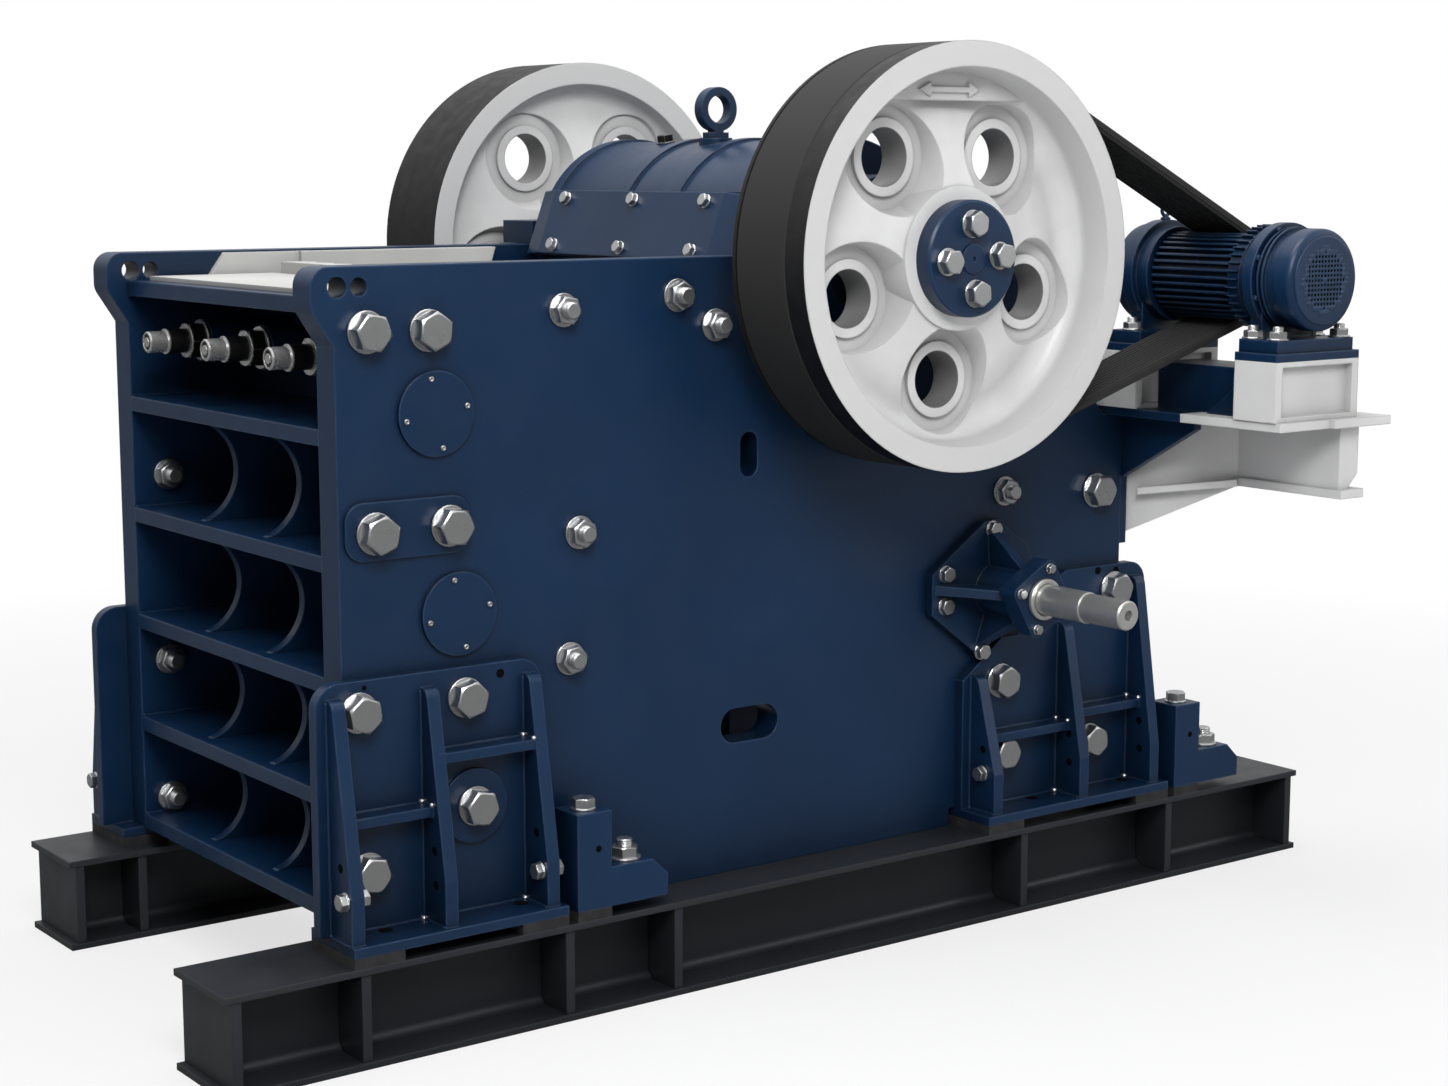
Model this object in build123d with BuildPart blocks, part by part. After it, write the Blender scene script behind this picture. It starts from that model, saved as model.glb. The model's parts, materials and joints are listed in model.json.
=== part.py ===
"""Single-toggle jaw crusher on two skid beams, with its motor carried behind the frame.

Millimetres, +Z up. The origin is on the ground in the middle of the skid. X runs from the feed end
to the drive end, and Y = 0 is the middle plane of the crusher, with the belt on the side of negative Y.
"""

import os
from math import cos, radians, sin

from build123d import *

os.makedirs("parts", exist_ok=True)

# Sides: near carries the belt and the motor's fan, far is its mirror image
NEAR = -1
FAR = 1
sides = {"near": NEAR, "far": FAR}

# Running fits
fit_gap = 0.3
belt_gap = 0.4
rod_gap = 10

# Skid beams, ahead of and behind the side plates
beam_h = 240
beam_w = 264
beam_flange = 16
beam_web = 12
beam_root_r = 20
beam_outset = 12
front_reach = 380
rear_reach = 630
far_setback = 148
stiffener_t = 24
stiffener_inset = 4
end_set = 18
stiffener_clip = 26
front_stiffeners = (-26, 527, 847)
rear_stiffeners = (-480, 89)

# Side plates: the shaft line divides their length
inside_width = 1044
plate_t = 85
plate_h = 1530
shaft_in = 1561
shaft_rear = 939
rear_flat = 75
rear_slope = 400
ear_out = 55
ear_depth = 95
ear_slope = 85
ear_round = 45
ear_hole_r = 24
ear_hole_in = 11
ear_hole_drop = 46
second_hole_r = 21
second_hole_in = 66
low_slot = (1170, 333)
low_slot_size = (184, 90)
high_slot = (1167, 1030)
high_slot_size = (115, 55)

# Round covers and rounded bolt pads outside the side plates
round_covers = ((257, 1187), (310, 713))
round_cover_r = 100
round_cover_t = 10
bolt_pad = (177, 927)
bolt_pad_size = (327, 135)

# Front box: shelves, webs and the wall behind them, each pocket taller than the one below
shelf_t = 38
shelf_drop = 72
pocket_count = 5
pocket_growth = 8
front_wall_in = 360
front_wall_t = 40
web_t = 25
web_y = 174
web_setback = 30
web_hollow = 95
lip_in = 45
lip_t = 12
lip_side_gap = 42

# Fixing bolts of the fixed die: bosses on the wall, then washer, nut, sleeve and tip as (end, radius)
die_rod_y = 340
die_rod_drop = 148
boss_r = 55
boss_in = 124
washer_step = (116, 52)
nut_end = 76
nut_flats = 85
sleeve_step = (19, 31)
tip_step = (-28, 26)

# Jaw dies and cheek plates
die_t = 80
die_tooth = 26
die_teeth = 9
die_side_gap = 47
die_bottom_h = 50
die_top_drop = 30
cheek_t = 35
cheek_front = 5
cheek_jaw_gap = 140
cheek_foot_gap = 70
cheek_bottom_h = 90
tongue_in = 220
tongue_rise = 50
tongue_t = 20
cheek_top_drop = 5
jaw_ahead = 326
jaw_top_drop = 100
jaw_gap = 220
jaw_bottom_h = 110

# Feet, pads under them and hold-down clamps
pad_t = 26
base_t = 24
foot_plate_t = 30
foot_tuck = 67
rib_t = 34
rib_setback = 13
rib_top_depth = 57
rib_knee_h = 110
rib_round = 24
foot_shelf_t = 24
foot_shelf_depth = 83
foot_round = 60
skirt_gap = 20
pad_length = 130
front_foot_x = (-85, 520)
front_foot_base = (-58, 520)
front_foot_h = 590
front_foot_ribs = (-40, 205, 485)
front_rib_h = (555, 555, 555)
front_foot_shelves = (282, 403)
foot_boss = (324, 255)
foot_boss_r = 90
foot_boss_t = 12
rear_foot_x = (-620, 75)
rear_foot_h = 630
rear_corner_h = 360
rear_notch_h = 465
rear_notch_x = (-480, -330)
rear_shoulder = -265
rear_foot_ribs = (-575, -250, 30)
rear_rib_h = (375, 485, 590)
rear_foot_shelves = (210, 240)
clamp_gap = 26
clamp_w = 98
clamp_depth = 100
clamp_h = 240
clamp_tail = 166
clamp_tail_h = 98
clamp_tail_slope = 45
clamp_tail_toe = 55

# Shaft line and main bearings
shaft_drop = 5
throw = 15
journal_r = 110
eccentric_r = 140
eccentric_side_gap = 7
wheel_seat_r = 95
housing_r = 205
housing_out = 75
lug_half = 320
lug_h = 65

# Flywheels: depths are measured from the outer face
wheel_r = 531
wheel_w = 282
wheel_gap = 37
rim_t = 63
rim_taper = 20
rim_fillet_front = 60
rim_fillet_back = 40
hub_r = 180
hub_set = 45
cone_top = 52
web_front = 138
web_back = 212
hole_count = 5
hole_ring_t = 25
hole_ring_h = 10
hole_inset = 7
scoop_margin = 4
scoop_floor = 33
scoop_overlap = 6
pad_rise = 62
pad_depth = 82
cover_r = 145
cover_t = 48
cover_edge = 5

# Pitman
barrel_r = 310
barrel_side_gap = 22
band_w = 40
band_h = 8
band_y = (-110, 130)
jaw_side_gap = 67
jaw_plate_t = 90
pitman_rib_t = 45
pitman_rib_y = 150
seat_behind = 465
seat_height = 350
seat_size = (110, 170)
guard_half = 400
guard_t = 20
guard_low = (-381, -15)
guard_high = (-316, 160)
guard_wing = 85
guard_wing_turn = 12
eye_x = -50
eye_r = 60
eye_hole_r = 38
eye_t = 34
eye_rise = 78
eye_stem = (64, 30)
eye_boss_r = 46
eye_boss_h = 8

# Toggle and rear box, measured from the rear edge of the side plates
toggle_beam_x = (-720, -580)
toggle_beam_h = (410, 760)
rear_wall_x = (-440, -400)
rear_wall_h = 160
rear_shelf_t = 36
rear_shelves = 4
rear_web_y = 174
rear_web_setback = 60
toggle_side_gap = 142
toggle_t = 60
toggle_gap = 26
toggle_rise = 32

# Setting brackets and rods: outline of the base and its ribs as (angle, reach) round the rod
set_height = 603
bracket_outline = (
    (-55, -178), (50, -108), (140, -93), (170, 7), (120, 117), (5, 195), (-40, 190), (-225, 62), (-225, -50),
)
bracket_ribs = ((0, 150), (95, 180), (175, 215), (250, 165))
bracket_t = 30
bracket_rib_t = 26
bracket_tube_r = 70
bracket_out = 163
flange_half = 82
flange_round = 22
flange_turn = 30
flange_t = 60
rod_r = 42
rod_end_r = 39
rod_step_out = 170
rod_end_out = 315
rod_edge = 4
rod_centre_r = 14
rod_centre_depth = 30
wedge_gap = 28
wedge_z = 180
wedge_y = (180, 450)

# Belt, drum and motor
motor_behind = 100
motor_drop = 73
belt_inset = 16
belt_w = 190
belt_t = 25
groove_side = 5
drum_belt_r = 119
drum_core_r = 100
drum_ribs = 36
drum_rib_w = 7
drum_over = 87
drum_tail = 10
drum_shaft_r = 30
shield_gap = 6
near_shield_rings = (
    (0, 40, 134), (40, 65, 128), (65, 97, 150), (97, 105, 128), (105, 111, 140), (111, 121, 128),
    (121, 127, 140), (127, 137, 128),
)
far_shield_rings = ((0, 40, 138), (40, 79, 150), (79, 119, 132))
near_neck = (60, 100)
far_neck = (38, 81)
shield_foot_half = 150
shield_neck_half = 105
shield_foot_h = 34
near_foot = (62, 197)
motor_centre_h = 190
motor_plate_t = 22
cowl_r = 136
cowl_neck_r = 129
cowl_neck = 25
cowl_length = 80
cowl_edge = 16

# Motor base: pedestals, cross beam, knee brace and the bracket on the frame
pedestal_half = 165
pedestal_h = 160
pedestal_near = (1080, 1225)
pedestal_far = (515, 720)
panel_depth = 22
panel_post = 26
panel_rail = 14
flange_plate_t = 24
deck_x = (-60, 370)
deck_end = 1240
deck_step_x = 140
deck_step = 16
cross_inner = 400
cross_web_x = 216
cross_low_x = (-22, 70)
cross_h = 196
end_plate_t = 14
end_plate_in = 18
end_plate_w = 52
end_plate_clip = 40
brace_frame_y = 565
brace_beam_y = 860
brace_drop = 153
brace_flange_half = 45
brace_flange_t = 20
brace_flange_rise = 117
arm_t = 25
arm_end = 885
arm_tip_h = 25
arm_root_h = 183
gusset_start = 925
gusset_h = 125
bridge_t = 20
bridge_h = 130
bridge_w = 165

# Worked out: frame and skid
plate_inner = inside_width / 2
plate_outer = plate_inner + plate_t
plate_length = shaft_in + shaft_rear
skid_length = front_reach + plate_length + rear_reach
skid_end = skid_length / 2
plate_front = front_reach - skid_end
plate_rear = plate_front + plate_length
plate_bottom = beam_h + pad_t + base_t
plate_top = plate_bottom + plate_h
beam_y = plate_outer + beam_outset
foot_edge = beam_y + beam_w / 2
foot_inner = plate_outer - foot_tuck
rib_edge = foot_edge - rib_setback
first_shelf = plate_bottom + shelf_t
top_shelf = plate_top - shelf_drop
mean_pocket = (top_shelf - first_shelf) / pocket_count
shelf_tops = [first_shelf]
for pocket in range(pocket_count):
    middle = (pocket_count - 1) / 2
    shelf_tops.append(shelf_tops[-1] + mean_pocket + (pocket - middle) * pocket_growth)

# Worked out: shaft line, wheels, belt and motor
axis_x = plate_front + shaft_in
axis_z = plate_top - shaft_drop
eccentric_z = axis_z - throw
barrel_half = plate_inner - barrel_side_gap
pitman_half = plate_inner - jaw_side_gap
wheel_in = plate_outer + housing_out + wheel_gap
wheel_face = wheel_in + wheel_w
rim_in_face = wheel_r - rim_t
rim_in_web = rim_in_face - rim_taper
scoop_r = (rim_in_web - hub_r) / 2 - scoop_margin
scoop_flare = rim_taper + scoop_overlap
hole_pitch = (rim_in_web + hub_r) / 2 - hole_inset
hole_ring_r = scoop_r - scoop_floor
hole_r = hole_ring_r - hole_ring_t
pad_chord = rim_in_web - pad_rise
shaft_half = wheel_face - hub_set
belt_in = wheel_in + belt_inset
belt_out = belt_in + belt_w
motor_x = plate_rear + motor_behind
motor_z = axis_z - motor_drop
drum_out = belt_out + drum_over
drum_in = belt_in - drum_tail
near_shield_in = drum_out + shield_gap
near_shield_out = near_shield_in + near_shield_rings[-1][1]
far_shield_out = drum_in - shield_gap
far_shield_in = far_shield_out - far_shield_rings[-1][1]
motor_foot_z = motor_z - motor_centre_h
pedestal_top = motor_foot_z - motor_plate_t
pedestal_foot = pedestal_top - pedestal_h
deck_z = pedestal_foot - flange_plate_t
cross_bottom = deck_z - cross_h


def x_at(distance):
    """X of a point at this distance behind the front edge of the side plates."""
    return plate_front + distance


def rear_at(distance):
    """X of a point at this distance behind the rear edge of the side plates."""
    return plate_rear + distance


def z_at(height):
    """Z of a point at this height above the bottom edge of the side plates."""
    return plate_bottom + height


def side_plane(side, inner, thickness):
    """Upright plane from which an extrusion by thickness covers inner to inner + thickness on that side."""
    return Plane.XZ.offset(inner if side == NEAR else -(inner + thickness))


def slab(x, y, z):
    """Add a block between two corners to the part being built."""
    with Locations(((x[0] + x[1]) / 2, (y[0] + y[1]) / 2, (z[0] + z[1]) / 2)):
        Box(abs(x[1] - x[0]), abs(y[1] - y[0]), abs(z[1] - z[0]))


def save(piece, name):
    """Label a finished piece and write it."""
    piece.part.label = name
    export_step(piece.part, f"parts/{name}.step")


def beam_front(side):
    """X of the front end of a skid beam."""
    return -skid_end if side == NEAR else far_setback - skid_end


def beam_ends(side):
    """X of both ends of a skid beam."""
    return (beam_front(side), skid_end)


def skid_beam(side):
    """Rolled wide-flange beam along X, its web cut back at both ends for the end plates."""
    hollow_w = (beam_w - beam_web) / 2
    hollow_y = (beam_w + beam_web) / 4
    with BuildPart() as beam:
        with BuildSketch(Plane.YZ.offset(beam_front(side))):
            with Locations((side * beam_y, beam_h / 2)):
                Rectangle(beam_w, beam_h)
            for inward in (-1, 1):
                with BuildSketch(mode=Mode.SUBTRACT) as hollow:
                    with Locations((side * beam_y + inward * hollow_y, beam_h / 2)):
                        Rectangle(hollow_w, beam_h - 2 * beam_flange)
                    by_web = hollow.vertices().group_by(Axis.X)[0 if inward > 0 else -1]
                    fillet(by_web, beam_root_r)
        extrude(amount=skid_end - beam_front(side))
        for x in beam_ends(side):
            with Locations((x, side * beam_y, beam_h / 2)):
                Box(2 * (end_set + stiffener_t), beam_w, beam_h - 2 * beam_flange, mode=Mode.SUBTRACT)
    return beam


def side_plate(side):
    """Thick side plate with lifting ear, bearing seat, two slots and a skirt between the feet."""
    with BuildPart() as plate:
        with BuildSketch(side_plane(side, plate_inner, plate_t)) as outline:
            with BuildLine():
                Polyline(
                    (plate_front, plate_bottom),
                    (skirt_x[0], plate_bottom),
                    (skirt_x[0], beam_h),
                    (skirt_x[1], beam_h),
                    (skirt_x[1], plate_bottom),
                    (plate_rear, plate_bottom),
                    (plate_rear, deck_z),
                    (plate_rear - rear_flat, deck_z),
                    (plate_rear - rear_flat - rear_slope, plate_top),
                    (plate_front - ear_out, plate_top),
                    (plate_front - ear_out, plate_top - ear_depth),
                    (plate_front, plate_top - ear_depth - ear_slope),
                    close=True,
                )
            make_face()
            fillet(outline.vertices().sort_by(Axis.X)[:2], ear_round)
            with Locations((x_at(ear_hole_in), plate_top - ear_hole_drop)):
                Circle(ear_hole_r, mode=Mode.SUBTRACT)
            with Locations((x_at(second_hole_in), plate_top - ear_hole_drop)):
                Circle(second_hole_r, mode=Mode.SUBTRACT)
            with Locations((axis_x, axis_z)):
                Circle(housing_r + fit_gap, mode=Mode.SUBTRACT)
            with Locations((set_x, set_z)):
                Circle(rod_r + rod_gap, mode=Mode.SUBTRACT)
            with Locations((x_at(low_slot[0]), z_at(low_slot[1]))):
                SlotOverall(*low_slot_size, mode=Mode.SUBTRACT)
            with Locations((x_at(high_slot[0]), z_at(high_slot[1]))):
                SlotOverall(*high_slot_size, rotation=90, mode=Mode.SUBTRACT)
        extrude(amount=plate_t)
    return plate


def foot(side, plate_outline, base_x, ribs, rib_heights, shelves, bosses):
    """Welded foot: back plate, base plate, three tapering ribs, a shelf in each bay and round bosses."""
    rib_root = plate_outer + foot_plate_t
    with BuildPart() as piece:
        with BuildSketch(side_plane(side, plate_outer, foot_plate_t)) as outline:
            with BuildLine():
                Polyline(*plate_outline, close=True)
            make_face()
            fillet(outline.vertices().group_by(Axis.Y)[-1], foot_round)
        extrude(amount=foot_plate_t)
        slab(base_x, (side * foot_inner, side * foot_edge), (plate_bottom - base_t, plate_bottom))
        for rib, height in zip(ribs, rib_heights):
            with BuildSketch(Plane.YZ.offset(rib - rib_t / 2)) as rib_outline:
                with BuildLine():
                    Polyline(
                        (side * rib_root, plate_bottom),
                        (side * rib_edge, plate_bottom),
                        (side * rib_edge, z_at(rib_knee_h)),
                        (side * (plate_outer + rib_top_depth), z_at(height)),
                        (side * rib_root, z_at(height)),
                        close=True,
                    )
                make_face()
                top_corners = rib_outline.vertices().group_by(Axis.Y)[-1].sort_by(Axis.X)
                fillet(top_corners[0 if side == NEAR else -1], rib_round)
            extrude(amount=rib_t)
        for left, right, height in zip(ribs, ribs[1:], shelves):
            depth = (side * rib_root, side * (plate_outer + foot_shelf_depth))
            slab((left, right), depth, (z_at(height) - foot_shelf_t, z_at(height)))
        for x, z in bosses:
            with BuildSketch(side_plane(side, rib_root, foot_boss_t)):
                with Locations((x, z)):
                    Circle(foot_boss_r)
            extrude(amount=foot_boss_t)
    return piece


def bearing_housing(side):
    """Round main-bearing housing in the side plate's seat, with lugs on the plate's top edge."""
    with BuildPart() as housing:
        with BuildSketch(side_plane(side, plate_inner, plate_t + housing_out)):
            with Locations((axis_x, axis_z)):
                Circle(housing_r)
            with Locations((axis_x, plate_top + lug_h / 2)):
                Rectangle(2 * lug_half, lug_h)
            with Locations((axis_x, axis_z)):
                Circle(journal_r + fit_gap, mode=Mode.SUBTRACT)
        extrude(amount=plate_t + housing_out)
    return housing


def setting_bracket(side):
    """Ribbed bracket with a turned square flange, which carries the setting rod outside the side plate."""
    depth = bracket_out + flange_t
    with BuildPart() as bracket:
        with BuildSketch(side_plane(side, plate_outer, bracket_t)):
            with BuildLine():
                Polyline(*[(set_x + x, set_z + z) for x, z in bracket_outline], close=True)
            make_face()
        extrude(amount=bracket_t)
        with BuildSketch(side_plane(side, plate_outer, bracket_out)):
            with Locations((set_x, set_z)):
                Circle(bracket_tube_r)
        extrude(amount=bracket_out)
        for angle, reach in bracket_ribs:
            along = cos(radians(angle))
            up = sin(radians(angle))
            rib_root = (set_x, side * plate_outer, set_z)
            rib_plane = Plane(rib_root, (along, 0, up), (-side * up, 0, side * along))
            with BuildSketch(rib_plane):
                with BuildLine():
                    Polyline(
                        (rod_r, 0),
                        (reach, 0),
                        (reach, bracket_t),
                        (bracket_tube_r, bracket_out),
                        (rod_r, bracket_out),
                        close=True,
                    )
                make_face()
            extrude(amount=bracket_rib_t / 2, both=True)
        with BuildSketch(side_plane(side, plate_outer + bracket_out, flange_t)):
            with Locations((set_x, set_z)):
                RectangleRounded(2 * flange_half, 2 * flange_half, flange_round, rotation=flange_turn)
        extrude(amount=flange_t)
        with BuildSketch(side_plane(side, plate_outer, depth)):
            with Locations((set_x, set_z)):
                Circle(rod_r + fit_gap)
        extrude(amount=depth, mode=Mode.SUBTRACT)
    return bracket


def setting_rod(side):
    """Stepped setting rod with a centre hole in its end and the wedge on its inner end."""
    rod_step = plate_outer + bracket_out + flange_t + rod_step_out
    rod_end = plate_outer + bracket_out + flange_t + rod_end_out
    with BuildPart() as rod:
        for inner, outer, radius in ((wedge_y[0], rod_step, rod_r), (rod_step, rod_end, rod_end_r)):
            with BuildSketch(side_plane(side, inner, outer - inner)):
                with Locations((set_x, set_z)):
                    Circle(radius)
            extrude(amount=outer - inner)
        chamfer(rod.edges().sort_by(Axis.Y)[0 if side == NEAR else -1], rod_edge)
        with BuildSketch(side_plane(side, rod_end - rod_centre_depth, rod_centre_depth)):
            with Locations((set_x, set_z)):
                Circle(rod_centre_r)
        extrude(amount=rod_centre_depth, mode=Mode.SUBTRACT)
        slab(
            (set_x - wedge_x / 2, set_x + wedge_x / 2),
            (side * wedge_y[0], side * wedge_y[1]),
            (set_z - wedge_z / 2, set_z + wedge_z / 2),
        )
    return rod


def wheel_outline(side, grooved):
    """Half section of a flywheel as (Y, Z) points, from depths behind its outer face and radii."""
    seat_r = wheel_r - belt_t - belt_gap
    groove = (
        (wheel_face - belt_in + groove_side, wheel_r),
        (wheel_face - belt_in + groove_side, seat_r),
        (wheel_face - belt_out - groove_side, seat_r),
        (wheel_face - belt_out - groove_side, wheel_r),
    )
    section = [
        (0, wheel_r),
        (0, rim_in_face),
        (web_front, rim_in_web),
        (cone_top, hub_r),
        (hub_set, hub_r),
        (hub_set, wheel_seat_r),
        (wheel_w, wheel_seat_r),
        (wheel_w, hub_r),
        (wheel_w - cone_top + hub_set, hub_r),
        (web_back, rim_in_web),
        (wheel_w, rim_in_face),
        (wheel_w, wheel_r),
    ]
    if grooved:
        section.extend(groove)
    return [(side * (wheel_face - depth), axis_z + radius) for depth, radius in section]


def scoop(side, holes, depth, height, outward):
    """Cut a flaring round scoop about each hole, from the web at this depth towards a face of the wheel."""
    middle = side * (wheel_face - depth + outward * height / 2)
    turn = -90 * side * outward
    with Locations(*[Location((x, middle, z), (turn, 0, 0)) for x, z in holes]):
        Cone(scoop_r, scoop_r + scoop_flare, height, mode=Mode.SUBTRACT)


def flywheel(side, grooved):
    """Cast flywheel: a dished web with five ringed holes, and the arms that their flaring scoops leave."""
    angles = [radians(-90 + turn * 360 / hole_count) for turn in range(hole_count)]
    holes = [(axis_x + hole_pitch * cos(angle), axis_z + hole_pitch * sin(angle)) for angle in angles]
    ring_t = web_back - web_front + 2 * hole_ring_h
    ring_in = wheel_face - web_back - hole_ring_h
    hub_length = wheel_w - hub_set
    pad_t_y = web_back - pad_depth
    with BuildPart() as wheel:
        with BuildSketch(Plane.YZ.offset(axis_x)) as section:
            with BuildLine():
                Polyline(*wheel_outline(side, grooved), close=True)
            make_face()
            for depth, radius in ((web_front, rim_fillet_front), (web_back, rim_fillet_back)):
                corner = (side * (wheel_face - depth), axis_z + rim_in_web, 0)
                fillet(section.vertices().sort_by_distance(corner)[0], radius)
        revolve(axis=Axis((axis_x, 0, axis_z), (0, 1, 0)))
        scoop(side, holes, web_front, web_front, 1)
        scoop(side, holes, web_back, wheel_w - web_back, -1)
        with BuildSketch(side_plane(side, ring_in, ring_t)):
            with Locations(*holes):
                Circle(hole_ring_r)
        extrude(amount=ring_t)
        with BuildSketch(side_plane(side, wheel_face - web_back, pad_t_y)):
            with Locations((axis_x, axis_z)):
                Circle(rim_in_web)
            with Locations((axis_x, axis_z + pad_chord - wheel_r)):
                Rectangle(2 * wheel_r, 2 * wheel_r, mode=Mode.SUBTRACT)
        extrude(amount=pad_t_y)
        with BuildSketch(side_plane(side, wheel_in, hub_length)):
            with Locations((axis_x, axis_z)):
                Circle(hub_r)
                Circle(wheel_seat_r, mode=Mode.SUBTRACT)
        extrude(amount=hub_length)
        with BuildSketch(side_plane(side, ring_in, ring_t)):
            with Locations(*holes):
                Circle(hole_r)
        extrude(amount=ring_t, mode=Mode.SUBTRACT)
    return wheel


def toothed_section(base, depth, tooth, half, count):
    """Outline of a jaw die across its width: a flat back and a row of ridges in front."""
    step = 2 * half / count
    points = [(base, half), (base, -half)]
    for tooth_number in range(count):
        left = -half + tooth_number * step
        points.append((base + depth - tooth, left))
        points.append((base + depth, left + step / 2))
    points.append((base + depth - tooth, half))
    return points


# Skirts of the side plates, which reach down to the beams between the feet
skirt_x = (x_at(front_foot_base[1] + skirt_gap), rear_at(rear_foot_x[0] - skirt_gap))

# Setting rods: in the middle of the room between the toggle beam and the rear wall
set_x = rear_at((toggle_beam_x[1] + rear_wall_x[0]) / 2)
set_z = z_at(set_height)
wedge_x = rear_wall_x[0] - toggle_beam_x[1] - 2 * wedge_gap

# Pieces that each side of the crusher has
for name, side in sides.items():
    save(skid_beam(side), f"{name}_skid_beam")
    save(side_plate(side), f"{name}_side_plate")
    save(bearing_housing(side), f"{name}_bearing_housing")
    save(setting_bracket(side), f"{name}_setting_bracket")
    save(setting_rod(side), f"{name}_setting_rod")
    save(flywheel(side, side == NEAR), f"{name}_flywheel")

# Stiffeners between the flanges of the skid beams, their inner corners clipped, and plain end plates
half_flange = (beam_w - beam_web) / 2
stiffener_y = (beam_web + half_flange - stiffener_inset) / 2
stiffener_x = [x_at(d) - stiffener_t / 2 for d in front_stiffeners]
stiffener_x += [rear_at(d) - stiffener_t / 2 for d in rear_stiffeners]
with BuildPart() as skid_stiffeners:
    for side in sides.values():
        end_w = beam_w - 2 * stiffener_inset
        for x, inward in zip(beam_ends(side), (1, -1)):
            with Locations((x + inward * (end_set + stiffener_t / 2), side * beam_y, beam_h / 2)):
                Box(stiffener_t, end_w, beam_h - 2 * beam_flange)
        for x in stiffener_x:
            for inward in (-1, 1):
                with BuildSketch(Plane.YZ.offset(x)) as outline:
                    with Locations((side * beam_y + inward * stiffener_y, beam_h / 2)):
                        Rectangle(half_flange - stiffener_inset - beam_web / 2, beam_h - 2 * beam_flange)
                    by_web = outline.vertices().group_by(Axis.X)[0 if inward > 0 else -1]
                    chamfer(by_web, stiffener_clip)
                extrude(amount=stiffener_t)
save(skid_stiffeners, "skid_stiffeners")

# Front wall behind the shelves, with the bosses of the die's fixing bolts
wall_face = x_at(front_wall_in)
wall_back = wall_face + front_wall_t
die_rod_z = top_shelf - die_rod_drop
die_rods = (-die_rod_y, 0, die_rod_y)
with BuildPart() as front_wall:
    slab((wall_face, wall_back), (-plate_inner, plate_inner), (plate_bottom, top_shelf))
    with BuildSketch(Plane.YZ.offset(x_at(boss_in))):
        with Locations(*[(y, die_rod_z) for y in die_rods]):
            Circle(boss_r)
    extrude(amount=front_wall_in - boss_in)
save(front_wall, "front_wall")

with BuildPart() as front_shelves:
    for top in shelf_tops:
        slab((plate_front, wall_face), (-plate_inner, plate_inner), (top - shelf_t, top))
save(front_shelves, "front_shelves")

with BuildPart() as feed_lip:
    lip_half = plate_inner - lip_side_gap
    slab((x_at(lip_in), wall_back), (-lip_half, lip_half), (top_shelf, top_shelf + lip_t))
save(feed_lip, "feed_lip")

# Upright webs in the lower pockets, their front edges hollowed to an arc
web_front_x = plate_front + web_setback
with BuildPart() as front_webs:
    for y in (-web_y, web_y):
        for low, high in zip(shelf_tops[:-2], shelf_tops[1:-1]):
            roof = high - shelf_t
            with BuildSketch(Plane.XZ.offset(-y - web_t / 2)):
                with BuildLine():
                    Polyline((web_front_x, roof), (wall_face, roof), (wall_face, low), (web_front_x, low))
                    hollow_middle = (web_front_x + web_hollow, (low + roof) / 2)
                    ThreePointArc((web_front_x, low), hollow_middle, (web_front_x, roof))
                make_face()
            extrude(amount=web_t)
save(front_webs, "front_webs")

# Three long bolts that hold the fixed die, with washers, nuts and sleeves in the top pocket
with BuildPart() as jaw_fixing_bolts:
    for y in die_rods:
        start = boss_in
        for end, radius in (washer_step, (nut_end, None), sleeve_step, tip_step):
            with BuildSketch(Plane.YZ.offset(x_at(end))):
                with Locations((y, die_rod_z)):
                    if radius:
                        Circle(radius)
                    else:
                        RegularPolygon(nut_flats / 2, 6, major_radius=False)
            extrude(amount=start - end)
            start = end
save(jaw_fixing_bolts, "jaw_fixing_bolts")

# Fixed jaw die on the back of the front wall
die_half_width = plate_inner - cheek_t - die_side_gap
die_bottom = z_at(die_bottom_h)
with BuildPart() as fixed_jaw_die:
    with BuildSketch(Plane.XY.offset(die_bottom)):
        with BuildLine():
            Polyline(*toothed_section(wall_back, die_t, die_tooth, die_half_width, die_teeth), close=True)
        make_face()
    extrude(amount=plate_top - die_top_drop - die_bottom)
save(fixed_jaw_die, "fixed_jaw_die")

# Line of the moving jaw: the seat of its die on the pitman, from top to bottom
jaw_top = Vector(axis_x - jaw_ahead, 0, axis_z - jaw_top_drop)
jaw_bottom = Vector(wall_back + die_t + jaw_gap, 0, z_at(jaw_bottom_h))
jaw_down = (jaw_bottom - jaw_top).normalized()
die_face = Plane(origin=jaw_top, x_dir=(jaw_down.Z, 0, -jaw_down.X), z_dir=jaw_down)
with BuildPart() as moving_jaw_die:
    with BuildSketch(die_face):
        with BuildLine():
            Polyline(*toothed_section(0, die_t, die_tooth, die_half_width, die_teeth), close=True)
        make_face()
    extrude(amount=(jaw_bottom - jaw_top).length)
save(moving_jaw_die, "moving_jaw_die")

# Cheek plates line the chamber between the dies, with a thinner tongue forward over the top shelf
cheek_top = plate_top - cheek_top_drop
cheek_x = wall_back + die_t + cheek_front
cheek_outline = (
    (cheek_x, cheek_top),
    (jaw_top.X - cheek_jaw_gap, cheek_top),
    (jaw_bottom.X - cheek_foot_gap, z_at(cheek_bottom_h)),
    (cheek_x, z_at(cheek_bottom_h)),
)
tongue_outline = (
    (x_at(tongue_in), top_shelf),
    (x_at(tongue_in + tongue_rise), cheek_top),
    (cheek_x, cheek_top),
    (cheek_x, top_shelf),
)
for name, side in sides.items():
    with BuildPart() as cheek:
        for outline, thickness in ((cheek_outline, cheek_t), (tongue_outline, tongue_t)):
            with BuildSketch(side_plane(side, plate_inner - thickness, thickness)):
                with BuildLine():
                    Polyline(*outline, close=True)
                make_face()
            extrude(amount=thickness)
    save(cheek, f"{name}_cheek_plate")

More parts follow.
